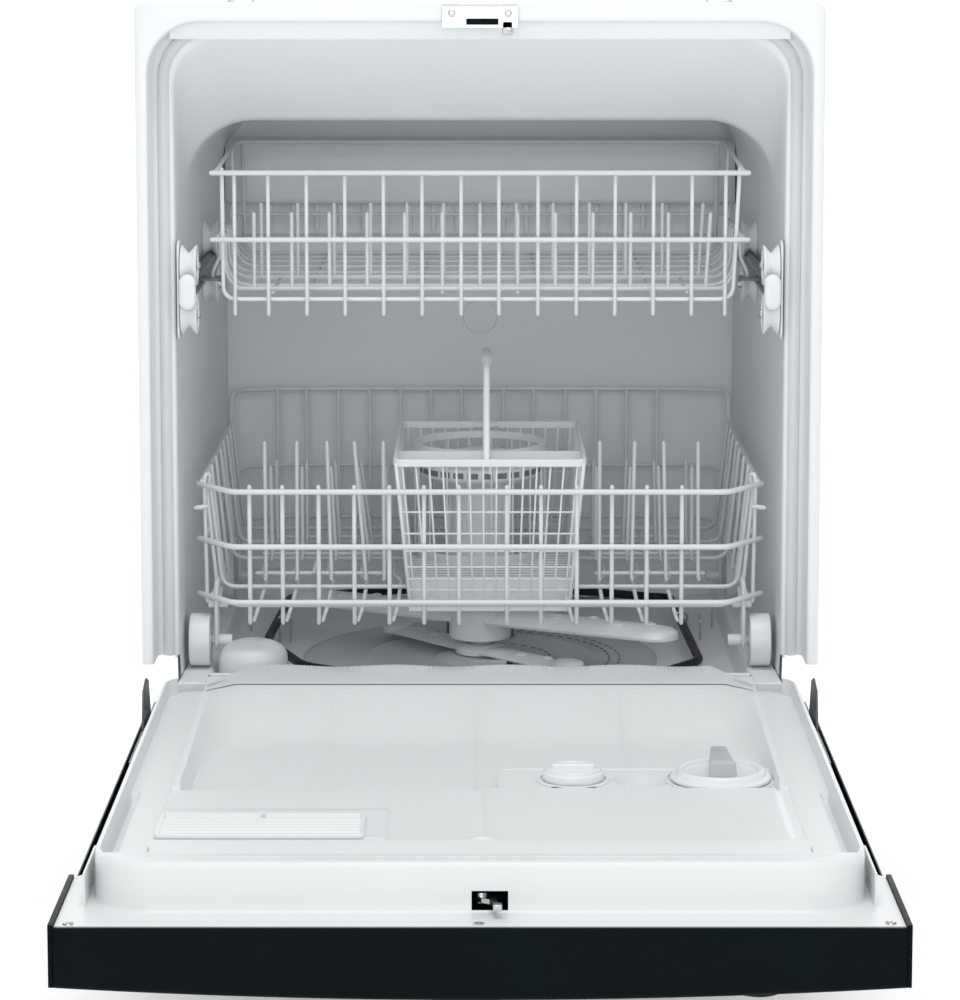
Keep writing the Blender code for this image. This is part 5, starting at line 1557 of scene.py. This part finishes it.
def vent():
    x0, x1, y0, y1 = -0.2400, -0.0850, -0.4850, -0.4240
    base = 0.2624
    frame_profile = [
        (0.0, base), (0.0, base + 0.0022), (0.0007, base + 0.0032), (0.0035, base + 0.0034),
        (0.0045, base + 0.0026), (0.0048, base), (0.0, base),
    ]
    shapes = [inset_loft(x0, x1, y0, y1, 0.004, frame_profile, 5, caps=(False, False))]
    # Painted shade: a grey sheet under the louvres stands in for the shade between them.
    well = slab((x0 + 0.002, y0 + 0.002, base), (x1 - 0.002, y1 - 0.002, base + 0.0006))
    piece("vent_shade_sheet", well, "door", GREY_GRIP_AND_VENT_SHADE)
    # A raised lip stands along the hinge side, and the louvres lean away from it.
    lip = [
        (y1 - 0.0140, base), (y1 - 0.0045, base), (y1 - 0.0045, base + 0.0048),
        (y1 - 0.0070, base + 0.0052), (y1 - 0.0135, base + 0.0016),
    ]
    shapes.append(extruded(lip, "X", x0 + 0.0045, x1 - 0.0045))
    for y in evenly(y0 + 0.0060, y1 - 0.0215, 5):
        louvre = [
            (y, base + 0.0004), (y + 0.0030, base + 0.0004), (y + 0.0050, base + 0.0036),
            (y + 0.0034, base + 0.0038),
        ]
        shapes.append(extruded(louvre, "X", x0 + 0.0030, x1 - 0.0030))
    shapes.append(slab((-0.1640, y1 - 0.0120, base + 0.0010), (-0.1600, y1 - 0.0060, base + 0.0056)))
    piece(
        "vent_louvres", merged(*shapes), "door", LINER_WHITE, replaces="vent_grille", bevel=0.0004,
        segments=2, angle=30,
    )


# ---------------------------------------------------------------- dispenser
def dispenser():
    x0, x1, y0, y1 = 0.0140, 0.2370, -0.3290, -0.2520
    top = 0.2573
    lathes = []
    plate = inset_loft(
        x0, x1, y0, y1, 0.012,
        [
            (0.0, 0.2446), (0.0, top - 0.0010), (0.0003, top - 0.0003), (0.0011, top), (0.0030, top),
            (0.0034, top - 0.0005), (0.0044, top - 0.0005),
        ],
        6, caps=(False, False),
    )
    # The plate's face has openings for the two cups and the rinse-aid filler.
    face = bmesh.new()
    holes = (
        ((0.1275, -0.2915), 0.0228, 0.0218), ((0.0735, -0.2900), 0.0172, 0.0172),
        ((0.1900, -0.2910), 0.0320, 0.0320),
    )
    rings = []
    step_count = 40
    level = top - 0.0005
    for (cx, cy), rx, ry in holes:
        rings.append([(cx + rx * math.cos(a), cy + ry * math.sin(a)) for a in turns(step_count)])
    edges = []
    outline = rounded(x0 + 0.0044, x1 - 0.0044, y0 + 0.0044, y1 - 0.0044, 0.0076, 6)
    for loop in [outline] + rings:
        verts = [face.verts.new((x, y, level)) for x, y in loop]
        edges += [face.edges.new((a, b)) for a, b in zip(verts, verts[1:] + verts[:1])]
    bmesh.ops.triangle_fill(face, use_beauty=True, use_dissolve=False, edges=edges)
    for f in list(face.faces):
        spot = f.calc_center_median()
        for (cx, cy), rx, ry in holes:
            if ((spot.x - cx) / rx) ** 2 + ((spot.y - cy) / ry) ** 2 < 0.98:
                face.faces.remove(f)
                break
    bmesh.ops.recalc_face_normals(face, faces=face.faces)
    for f in face.faces:
        if f.normal.z < 0:
            f.normal_flip()
    for (cx, cy), rx, ry in holes:
        deep = 0.0165 if rx < 0.0230 and rx > 0.0175 else 0.030
        loops = []
        for scale, drop in (
            (1.0, 0.0), (0.985, 0.0012), (0.97, deep * 0.6), (0.90, deep * 0.93), (0.75, deep), (0.30, deep)
        ):
            loops.append(
                [
                    (cx + rx * scale * math.cos(a), cy + ry * scale * math.sin(a), level - drop)
                    for a in turns(step_count)
                ]
            )
        lathes.append(loft(loops, True, (False, True)))
    box_walls = inset_loft(
        x0 + 0.0046, x1 - 0.0046, y0 + 0.0046, y1 - 0.0046, 0.008, [(0.0, 0.2145), (0.0, 0.2545)], 4,
        caps=(True, False),
    )
    ribs = [
        slab((x, y0 + 0.006, top - 0.0008), (x + 0.0012, y1 - 0.006, top)) for x in (0.0420, 0.1520, 0.2290)
    ]
    piece("dispenser_moulding", merged(plate, face, *lathes, box_walls, *ribs), "door", LINER_WHITE,
          replaces="dispenser_housing", angle=35)
    lid_base = top + 0.0003
    # Main lid: a stepped round cover with a raised grip across it.
    lid = [
        (0, lid_base + 0.0002), (0.0385, lid_base + 0.0002), (0.0398, lid_base + 0.0008),
        (0.0400, lid_base + 0.0026), (0.0394, lid_base + 0.0036), (0.0362, lid_base + 0.0046),
        (0.0338, lid_base + 0.0088), (0.0330, lid_base + 0.0094), (0.0310, lid_base + 0.0094),
        (0.0296, lid_base + 0.0086), (0.0286, lid_base + 0.0066), (0.0270, lid_base + 0.0060),
        (0, lid_base + 0.0060),
    ]
    cover = lathe(lid, (0.1900, -0.2910, 0), "Z", 72)
    loops = []
    for z, pinch, lean in (
        (0.0040, 0.0, 0.0), (0.0150, 0.0008, 0.0004), (0.0195, 0.0012, 0.0006), (0.0207, 0.0022, 0.0014),
        (0.0211, 0.0036, 0.0028),
    ):
        loops.append(
            [
                (0.1785 + pinch, -0.3180 + lean * 2, lid_base + z),
                (0.2015 - pinch, -0.3180 + lean * 2, lid_base + z),
                (0.1975 - pinch, -0.2645 - lean, lid_base + z),
                (0.1825 + pinch, -0.2645 - lean, lid_base + z),
            ]
        )
    grip = loft(loops, True, (True, True))
    hinge = extruded(circle(LID_Y, lid_base + 0.0026, 0.0022, 16), "X", 0.1780, 0.2020)
    piece(
        "lid_cover", merged(cover, hinge), "detergent_lid_body", WHITE, replaces="detergent_lid",
        bevel=0.0007, angle=32,
    )
    piece("lid_grip", grip, "detergent_lid_body", GREY_GRIP_AND_VENT_SHADE, bevel=0.0007, angle=32)
    cap = [
        (0, lid_base + 0.0002), (0.0236, lid_base + 0.0002), (0.0240, lid_base + 0.0008),
        (0.0240, lid_base + 0.0058), (0.0234, lid_base + 0.0068), (0.0222, lid_base + 0.0072),
        (0.0216, lid_base + 0.0092), (0.0208, lid_base + 0.0099), (0.0190, lid_base + 0.0099),
        (0.0182, lid_base + 0.0088), (0, lid_base + 0.0088),
    ]
    disc = lathe(cap, (0.0735, -0.2900, 0), "Z", 56)
    bar = inset_loft(
        0.0560, 0.0910, -0.2935, -0.2865, 0.003,
        [(0.0, lid_base + 0.0070), (0.0, lid_base + 0.0118), (0.0010, lid_base + 0.0128)], 5,
        caps=(True, True),
    )
    piece(
        "rinse_cap_cover", merged(disc, bar), "rinse_aid_cap_body", WHITE, replaces="rinse_aid_cap",
        bevel=0.0005, angle=32,
    )
    foot = lathe(
        [(0.0260, top - 0.0002), (0.0290, top - 0.0002), (0.0284, top + 0.0012), (0.0262, top + 0.0012)],
        (0.0735, -0.2900, 0), "Z", 56, True,
    )
    # Painted shade: a thin dark strip on the plate stands in for the filler's slot.
    filler_shade_strip = slab((0.0560, -0.3180, top - 0.0002), (0.0910, -0.3150, top + 0.0003))
    ring = lathe(
        [(0.0420, top - 0.0002), (0.0440, top - 0.0002), (0.0436, top + 0.0014), (0.0422, top + 0.0014)],
        (0.1900, -0.2910, 0), "Z", 72, True,
    )
    for shape in (ring, foot):
        for vert in shape.verts:
            vert.co.y = min(max(vert.co.y, y0 + 0.001), y1 - 0.001)
    piece("dispenser_rings", merged(foot, ring), "door", LINER_WHITE, angle=40)
    piece("filler_slot_shade", filler_shade_strip, "door", BLACK_PLASTIC_AND_SLOT_SHADE)
    lug = lathe(
        [(0, 0.2540), (0.0070, 0.2540), (0.0075, 0.2550), (0.0068, 0.2562), (0, 0.2562)],
        (0.2300, -0.3010, 0.0012), "Z", 32,
    )
    piece("dispenser_lug", lug, "door", LINER_WHITE, angle=40)


# ---------------------------------------------------------------- console and latch
def console_face(x):
    return 0.187 - 0.009 * (1 - (x / 0.303) ** 2)


def console():
    wall = 0.0036
    loops = []
    half = 0.303
    for x in [-half, -half + 0.0008, -half + 0.003] + evenly(-half + 0.012, half - 0.012, 31) + [
        half - 0.003, half - 0.0008, half
    ]:
        edge = max(0.0, abs(x) - (half - 0.003))
        draw = 0.003 - math.sqrt(max(0.0, 0.003 ** 2 - edge ** 2))
        low = console_face(x) + draw
        top = 0.2313
        section = profile_of(
            [
                (-0.4762, low + 0.0002), (-0.608 + draw, low), (-0.608 + draw, top), (-0.6044, top),
                (-0.6044, low + wall), (-0.4762, low + wall),
            ],
            [0, 0.0065, 0.0009, 0.0006, 0.003, 0], 5,
        )
        loops.append([(x, y, z) for y, z in section])
    shell = loft(loops, True, (True, True))
    ends = []
    for side in SIDES.values():
        outline = profile_of(
            [(-0.608, 0.1885), (-0.4765, 0.1885), (-0.4765, 0.2338), (-0.608, 0.2338)],
            [0.006, 0.002, 0.003, 0.004], 5,
        )
        low, high = sorted((side * 0.2994, side * 0.3030))
        ends.append(extruded(outline, "X", low, high))
    piece(
        "console_shell", merged(shell, *ends), "door", BLACK_PLASTIC_AND_SLOT_SHADE, replaces="console", bevel=0.0006,
        segments=2, angle=40,
    )


def controls():
    centre = (0.200, -0.545, 0)
    face = console_face(0.200)
    dial = [
        (0, face - 0.0150), (0.0170, face - 0.0150), (0.0184, face - 0.0143), (0.0204, face - 0.0130),
        (0.0214, face - 0.0062), (0.0222, face - 0.0052), (0.0256, face - 0.0042), (0.0260, face - 0.0034),
        (0.0260, face - 0.0024), (0.0060, face - 0.0021), (0.0058, face + 0.0150), (0, face + 0.0155),
    ]
    body = lathe(dial, centre, "Z", 72)
    flutes = []
    for x, y in circle(centre[0], centre[1], 0.0208, 24):
        flutes.append(extruded(circle(x, y, 0.0011, 8), "Z", face - 0.0126, face - 0.0060))
    pointer = slab(
        (centre[0] - 0.0012, centre[1] + 0.002, face - 0.0157),
        (centre[0] + 0.0012, centre[1] + 0.0165, face - 0.0145),
    )
    piece(
        "dial_knob", merged(body, *flutes, pointer), "control_dial_body", BLACK_PLASTIC_AND_SLOT_SHADE,
        replaces="control_dial", angle=35,
    )
    for number, x in enumerate((-0.230, -0.195, -0.160), 1):
        low = console_face(x)
        key = inset_loft(
            x - 0.0118, x + 0.0118, -0.5518, -0.5382, 0.0025,
            [
                (0.0, low + 0.0098), (0.0, low - 0.0036), (0.0006, low - 0.0046), (0.0020, low - 0.0050),
                (0.0035, low - 0.0044),
            ],
            5, caps=(True, True),
        )
        piece(
            f"button_{number}_key", key, f"button_{number}_body", BLACK_PLASTIC_AND_SLOT_SHADE,
            replaces=f"button_{number}", angle=40,
        )
    face = console_face(0)
    grip = inset_loft(
        -0.0358, 0.0138, -0.5658, -0.5242, 0.010,
        [
            (0.0010, face - 0.0008), (0.0, face - 0.0020), (0.0, face - 0.0130), (0.0012, face - 0.0160),
            (0.0040, face - 0.0178), (0.0090, face - 0.0172), (0.0120, face - 0.0130),
        ],
        8, caps=(True, True),
    )
    stem = slab((-0.0218, -0.5508, face - 0.0020), (-0.0022, -0.5392, face + 0.0178))
    piece(
        "latch_grip", merged(grip, stem), "latch_handle_body", BLACK_PLASTIC_AND_SLOT_SHADE, replaces="latch_handle",
        bevel=0.0005, angle=35,
    )
    outline = profile_of(
        [
            (-0.0020, -0.5272), (-0.0050, -0.5480), (-0.0055, -0.5600), (0.0010, -0.5665),
            (0.0070, -0.5700), (0.0115, -0.5852), (0.0150, -0.5850), (0.0126, -0.5740), (0.0110, -0.5600),
            (0.0095, -0.5450), (0.0100, -0.5272),
        ],
        [0, 0.004, 0.005, 0.003, 0.003, 0.001, 0.001, 0.004, 0.004, 0.004, 0], 4,
    )
    hook = extruded(outline, "Z", 0.2374, 0.2414)
    cam = lathe(
        [(0, 0.2352), (0.0052, 0.2352), (0.0058, 0.2360), (0.0058, 0.2436), (0.0050, 0.2444), (0, 0.2444)],
        (0.0010, -0.5570, 0), "Z", 28,
    )
    pin = lathe([(0, 0.2336), (0.0030, 0.2336), (0.0030, 0.2478), (0, 0.2478)], (0.0040, -0.5350, 0), "Z", 20)
    tip = slab((0.0092, -0.5860, 0.2372), (0.0156, -0.5780, 0.2416))
    piece(
        "latch_claw", merged(hook, cam, pin, tip), "latch_hook_body", STEEL, replaces="latch_hook",
        bevel=0.0006, angle=35,
    )
    module = inset_loft(
        -0.2500, -0.0600, -0.5920, -0.5000, 0.004,
        [(0.0, 0.2046), (0.0, 0.2240), (0.0010, 0.2255), (0.0040, 0.2262), (0.0080, 0.2262)], 4,
        caps=(True, True),
    )
    sockets = [
        slab((x, -0.5860, 0.2255), (x + 0.018, -0.5760, 0.2269)) for x in (-0.230, -0.190, -0.150, -0.110)
    ]
    piece(
        "module_case", merged(module, *sockets), "door", GREY_AND_HOLE_SHADE, replaces="control_module",
        bevel=0.0005, segments=2,
    )


LID_Y = -0.2505
liner()
heel_seal()
vent()
dispenser()
console()
controls()


# ---------------------------------------------------------------- hinges, brackets and panels
def strike():
    y0, y1 = 0.0454, 0.0476
    plate = extruded(rounded(-0.0328, 0.0328, 0.8382, 0.8580, 0.0015, 3), "Y", y0, y1)
    keeper = inset_loft(
        0.0190, 0.0286, 0.8322, 0.8440, 0.002, [(0.0, y1 - 0.0003), (0.0, y0 + 0.0004), (0.0008, y0)], 3,
        lambda x, z, y: (x, y, z), (True, True),
    )
    lip = extruded([(y0, 0.8562), (y0 - 0.0002, 0.8582), (y1, 0.8582), (y1, 0.8562)], "X", -0.0320, 0.0320)
    heads = [screw_head((x, y0, 0.8505), "Y", -1, 0.0034, 0.0005) for x in (-0.0245, 0.0245)]
    piece(
        "strike_tab", merged(plate, keeper, lip, *heads), "cabinet", STEEL, replaces="strike_plate",
        bevel=0.0003, segments=2, angle=35,
    )
    # Painted shade: a thin dark sheet on the plate stands in for the opening.
    slot_shade_piece = slab((-0.0120, y0 - 0.0001, 0.8408), (0.0160, y0 + 0.0006, 0.8462))
    piece("strike_opening_shade", slot_shade_piece, "cabinet", BLACK_PLASTIC_AND_SLOT_SHADE)


def counter_tabs():
    for name, side in SIDES.items():
        low, high = sorted((side * 0.1952, side * 0.2188))
        plate = extruded(rounded(low, high, 0.0502, 0.1118, 0.0030, 4), "Z", 0.8603, 0.8618)
        ring = lathe(
            [(0.0030, 0.8616), (0.0048, 0.8616), (0.0044, 0.8619), (0.0032, 0.8619)],
            (side * 0.207, 0.098, 0), "Z", 28, True,
        )
        # Painted shade: a dark disc inside the ring stands in for the hole.
        hole_shade_disc = lathe(
            [(0, 0.8617), (0.0030, 0.8617), (0.0030, 0.86185), (0, 0.86185)], (side * 0.207, 0.098, 0), "Z",
            28,
        )
        piece(
            f"counter_tab_{name}", merged(plate, ring), "cabinet", STEEL,
            replaces=f"counter_bracket_{name}", bevel=0.0003, segments=2,
        )
        piece(f"counter_tab_hole_shade_{name}", hole_shade_disc, "cabinet", DARK_STEEL_AND_HOLE_SHADE)


def legs():
    places = {
        "front_left": (-0.262, 0.085), "front_right": (0.262, 0.085), "rear_left": (-0.262, 0.560),
        "rear_right": (0.262, 0.560),
    }
    for name, (x, y) in places.items():
        profile = [
            (0, 0.0002), (0.0150, 0.0002), (0.0165, 0.0010), (0.0170, 0.0028), (0.0170, 0.0058),
            (0.0160, 0.0066), (0.0092, 0.0080), (0, 0.0080),
        ]
        foot = lathe(profile, (x, y, 0), "Z", 40)
        nut = extruded(circle(x, y, 0.0088, 6), "Z", 0.0080, 0.0142)
        thread = [(0, 0.0142)]
        for turn in range(38):
            z = 0.0145 + 0.0016 * turn
            thread += [(0.0037, z), (0.0043, z + 0.0008)]
        thread += [(0.0037, 0.0748), (0, 0.0750)]
        piece(
            f"leg_{name}_foot", merged(foot, nut, lathe(thread, (x, y, 0), "Z", 20)), f"leg_{name}_body",
            STEEL, replaces=f"leg_{name}", bevel=0.0003, segments=2, angle=35,
        )


def springs():
    for name, side in SIDES.items():
        x, z = side * 0.2936, 0.110
        points = []
        coils, steps = 26, 14
        for step in range(coils * steps + 1):
            share = step / (coils * steps)
            angle = 2 * math.pi * coils * share
            points.append((x + 0.0041 * math.cos(angle), 0.188 + 0.158 * share, z + 0.0041 * math.sin(angle)))
        hooks = [
            (
                fillet(
                    [
                        (x, 0.1760, z + 0.004), (x, 0.1760, z - 0.003), (x, 0.1830, z - 0.003),
                        (x + 0.0041, 0.1880, z),
                    ],
                    0.002, 4,
                ),
                0.0009,
            ),
            (
                fillet(
                    [
                        (x + 0.0041, 0.3460, z), (x, 0.3520, z - 0.003), (x, 0.3590, z - 0.003),
                        (x, 0.3590, z + 0.004),
                    ],
                    0.002, 4,
                ),
                0.0009,
            ),
        ]
        piece(f"spring_coil_{name}", wires([(points, 0.0010), *hooks], 0.001, 6), "cabinet", STEEL,
              replaces=f"door_spring_{name}", angle=60)


def motor_and_fittings():
    motor = [
        (0, 0.0365), (0.0380, 0.0365), (0.0400, 0.0372), (0.0500, 0.0412), (0.0518, 0.0430),
        (0.0520, 0.0520), (0.0505, 0.0528), (0.0505, 0.0900), (0.0520, 0.0908), (0.0520, 0.0990),
        (0.0508, 0.1010), (0.0440, 0.1080), (0.0436, 0.1100), (0.0436, 0.1192), (0, 0.1192),
    ]
    shapes = [lathe(motor, (HUB.x, HUB.y, 0), "Z", 56)]
    for angle in turns(20):
        shapes.append(
            spun(slab((0.0498, -0.0010, 0.0535), (0.0518, 0.0010, 0.0895)), angle, (HUB.x, HUB.y, 0))
        )
    piece(
        "motor_case", merged(*shapes), "cabinet", DARK_STEEL_AND_HOLE_SHADE, replaces="wash_motor", bevel=0.0004,
        segments=2, angle=35,
    )
    block = inset_loft(
        -0.2148, -0.1502, 0.0902, 0.1398, 0.004, [(0.0, 0.0502), (0.0, 0.0930), (0.0020, 0.0948)], 4,
        caps=(True, True),
    )
    neck = lathe(
        [
            (0.0070, 0.0900), (0.0120, 0.0900), (0.0120, 0.1060), (0.0128, 0.1064), (0.0128, 0.1090),
            (0.0118, 0.1096), (0.0118, 0.1130), (0.0126, 0.1136), (0.0118, 0.1198), (0.0070, 0.1198),
        ],
        (-0.182, 0.115, 0), "Z", 36, True,
    )
    coil = lathe(
        [
            (0, -0.1560), (0.0160, -0.1560), (0.0168, -0.1550), (0.0168, -0.1290), (0.0150, -0.1270),
            (0.0080, -0.1265), (0.0080, -0.1215), (0, -0.1215),
        ],
        (0, 0.115, 0.072), "X", 36,
    )
    tabs = [slab((-0.1262, 0.115 + s, 0.0780), (-0.1215, 0.118 + s, 0.0860)) for s in (-0.008, 0.005)]
    piece(
        "valve_body", merged(block, neck, coil, *tabs), "cabinet", FILTER_GREY, replaces="inlet_valve",
        bevel=0.0006, segments=2, angle=35,
    )
    keep("junction_box", STEEL, 0.0006)
    box_lid = inset_loft(
        0.1425, 0.2225, 0.0425, 0.1025, 0.003, [(0.0, 0.1335), (0.0, 0.1322)], 3, lambda x, z, y: (x, y, z),
        (True, True),
    )
    piece(
        "junction_lid", merged(box_lid, screw_head((0.1500, 0.1335, 0.0725), "Y", 1, 0.0030, 0.0012)),
        "cabinet", STEEL, bevel=0.0004, segments=2,
    )


def hinge_parts():
    for name, side in SIDES.items():
        keep(f"hinge_bracket_{name}", DARK_STEEL_AND_HOLE_SHADE, 0.0004)
        keep(f"hinge_arm_{name}", DARK_STEEL_AND_HOLE_SHADE, 0.0005)
        heads = [
            lathe(
                [
                    (r, side * h)
                    for r, h in (
                        (0, 0.2952), (0.0062, 0.2952), (0.0062, 0.2968), (0.0050, 0.2976), (0, 0.2978)
                    )
                ],
                (0, 0.030, 0.217), "X", 28,
            ),
        ]
        piece(f"hinge_pin_{name}", merged(*heads), "door", STEEL, bevel=0.0002, segments=2)
        rivets = []
        for y, z in ((-0.100, 0.210), (-0.055, 0.210)):
            rivets.append(
                lathe(
                    [
                        (r, side * h)
                        for r, h in ((0, 0.2950), (0.0040, 0.2950), (0.0036, 0.2966), (0, 0.2970))
                    ],
                    (0, y, z), "X", 20,
                )
            )
        piece(f"hinge_rivets_{name}", merged(*rivets), "door", STEEL)


def panels():
    panel = inset_loft(
        -0.298, 0.298, 0.095, 0.170, 0.003,
        [
            (0.0012, 0.0094), (0.0, 0.0092), (0.0, 0.0075), (0.0014, 0.0062), (0.0060, 0.0060),
            (0.0068, 0.0064), (0.0080, 0.0064),
        ],
        4, lambda x, z, y: (x, y, z), (True, True),
    )
    louvres = [slab((x, 0.0061, 0.1120), (x + 0.036, 0.0068, 0.1150)) for x in evenly(-0.20, 0.164, 9)]
    louvres += [slab((x, 0.0061, 0.1200), (x + 0.036, 0.0068, 0.1230)) for x in evenly(-0.20, 0.164, 9)]
    heads = [screw_head((x, 0.0064, 0.1560), "Y", -1, 0.0040, 0.0004) for x in (-0.275, 0.275)]
    piece(
        "access_sheet", panel, "cabinet", ENAMEL, replaces="access_panel", bevel=0.0002, segments=2,
    )
    piece("access_louvres", merged(*louvres), "cabinet", BLACK_PLASTIC_AND_SLOT_SHADE, bevel=0.0003, segments=2)
    piece("access_screws", merged(*heads), "cabinet", STEEL)
    kick = inset_loft(
        -0.292, 0.292, 0.012, 0.0935, 0.002,
        [
            (0.0, 0.0604), (0.0, 0.0590), (0.0010, 0.0581), (0.0100, 0.0581), (0.0112, 0.0587),
            (0.0130, 0.0587),
        ],
        3, lambda x, z, y: (x, y, z), (True, True),
    )
    piece("kick_sheet", kick, "cabinet", ENAMEL, replaces="toe_kick")
    keep("base_frame", DARK_STEEL_AND_HOLE_SHADE, 0.0004)
    keep("door_panel", ENAMEL, 0.0012)
    # Stiffening strips lie inside the door's outer panel.
    strips = [slab((x - 0.010, -0.460, 0.1892), (x + 0.010, 0.040, 0.1922)) for x in (-0.20, 0.0, 0.20)]
    piece("panel_stiffeners", merged(*strips), "door", DARK_STEEL_AND_HOLE_SHADE, bevel=0.0006, segments=2)


strike()
counter_tabs()
legs()
springs()
motor_and_fittings()
hinge_parts()
panels()


# ---------------------------------------------------------------- floor, light and camera
def stage_and_light():
    line = [(-9.0, 0.0), (-3.0, 0.0), (1.4, 0.0), (4.2, 0.0), (5.6, 0.6), (6.2, 2.2), (6.2, 6.5)]
    curve = fillet([(0, y, z) for y, z in line], 1.6, 8)
    backdrop = loft(
        [[(x, point.y, point.z - 0.0005) for point in curve] for x in evenly(-9.0, 9.0, 7)], closed=False
    )
    mesh = bpy.data.meshes.new("ground")
    backdrop.to_mesh(mesh)
    backdrop.free()
    mesh.shade_smooth()
    pale, tree, shader, place = new_material("pale_floor")
    slow = noise_of(tree, place, 0.7, 2.0)
    tree.links.new(
        two_tone(tree, slow, (0.90, 0.905, 0.91), (0.92, 0.925, 0.93)), shader.inputs["Base Color"]
    )
    shader.inputs["Roughness"].default_value = 0.9
    shader.inputs["Emission Color"].default_value = (1, 1, 1, 1)
    shader.inputs["Emission Strength"].default_value = 0.30
    mesh.materials.append(pale)
    made = bpy.data.objects.new("ground", mesh)
    bpy.context.scene.collection.objects.link(made)
    world = bpy.data.worlds.new("studio")
    bpy.context.scene.world = world
    world.use_nodes = True
    background = world.node_tree.nodes["Background"]
    background.inputs["Color"].default_value = (0.97, 0.985, 1.0, 1)
    background.inputs["Strength"].default_value = 0.665

    def soft_box(name, place, aim, width, height, power, colour=(1, 1, 1)):
        light = bpy.data.lights.new(name, "AREA")
        light.shape = "RECTANGLE"
        light.size, light.size_y = width, height
        light.energy = power
        light.color = colour
        lamp = bpy.data.objects.new(name, light)
        lamp.location = place
        lamp.rotation_euler = (Vector(aim) - Vector(place)).to_track_quat("-Z", "Y").to_euler()
        bpy.context.scene.collection.objects.link(lamp)

    soft_box("front_fill", (0, -3.3, 1.25), (0, 0.1, 0.50), 1.4, 1.0, 18)
    soft_box("overhead", (0, -0.9, 3.2), (0, -0.3, 0.3), 1.2, 0.9, 24)
    soft_box("backdrop_wash", (0, 2.2, 2.6), (0, 6.0, 1.2), 5.0, 1.6, 150)


def camera():
    data = bpy.data.cameras.new("camera")
    data.lens = 124.2
    data.sensor_width = 36
    data.shift_y = -0.14
    data.clip_start, data.clip_end = 0.05, 60
    view = bpy.data.objects.new("camera", data)
    view.location = (0, -2.952, 0.935)
    view.rotation_euler = (math.radians(90 - 7.35), 0, 0)
    bpy.context.scene.collection.objects.link(view)
    bpy.context.scene.camera = view


stage_and_light()
camera()
bpy.context.scene.view_settings.view_transform = "Standard"
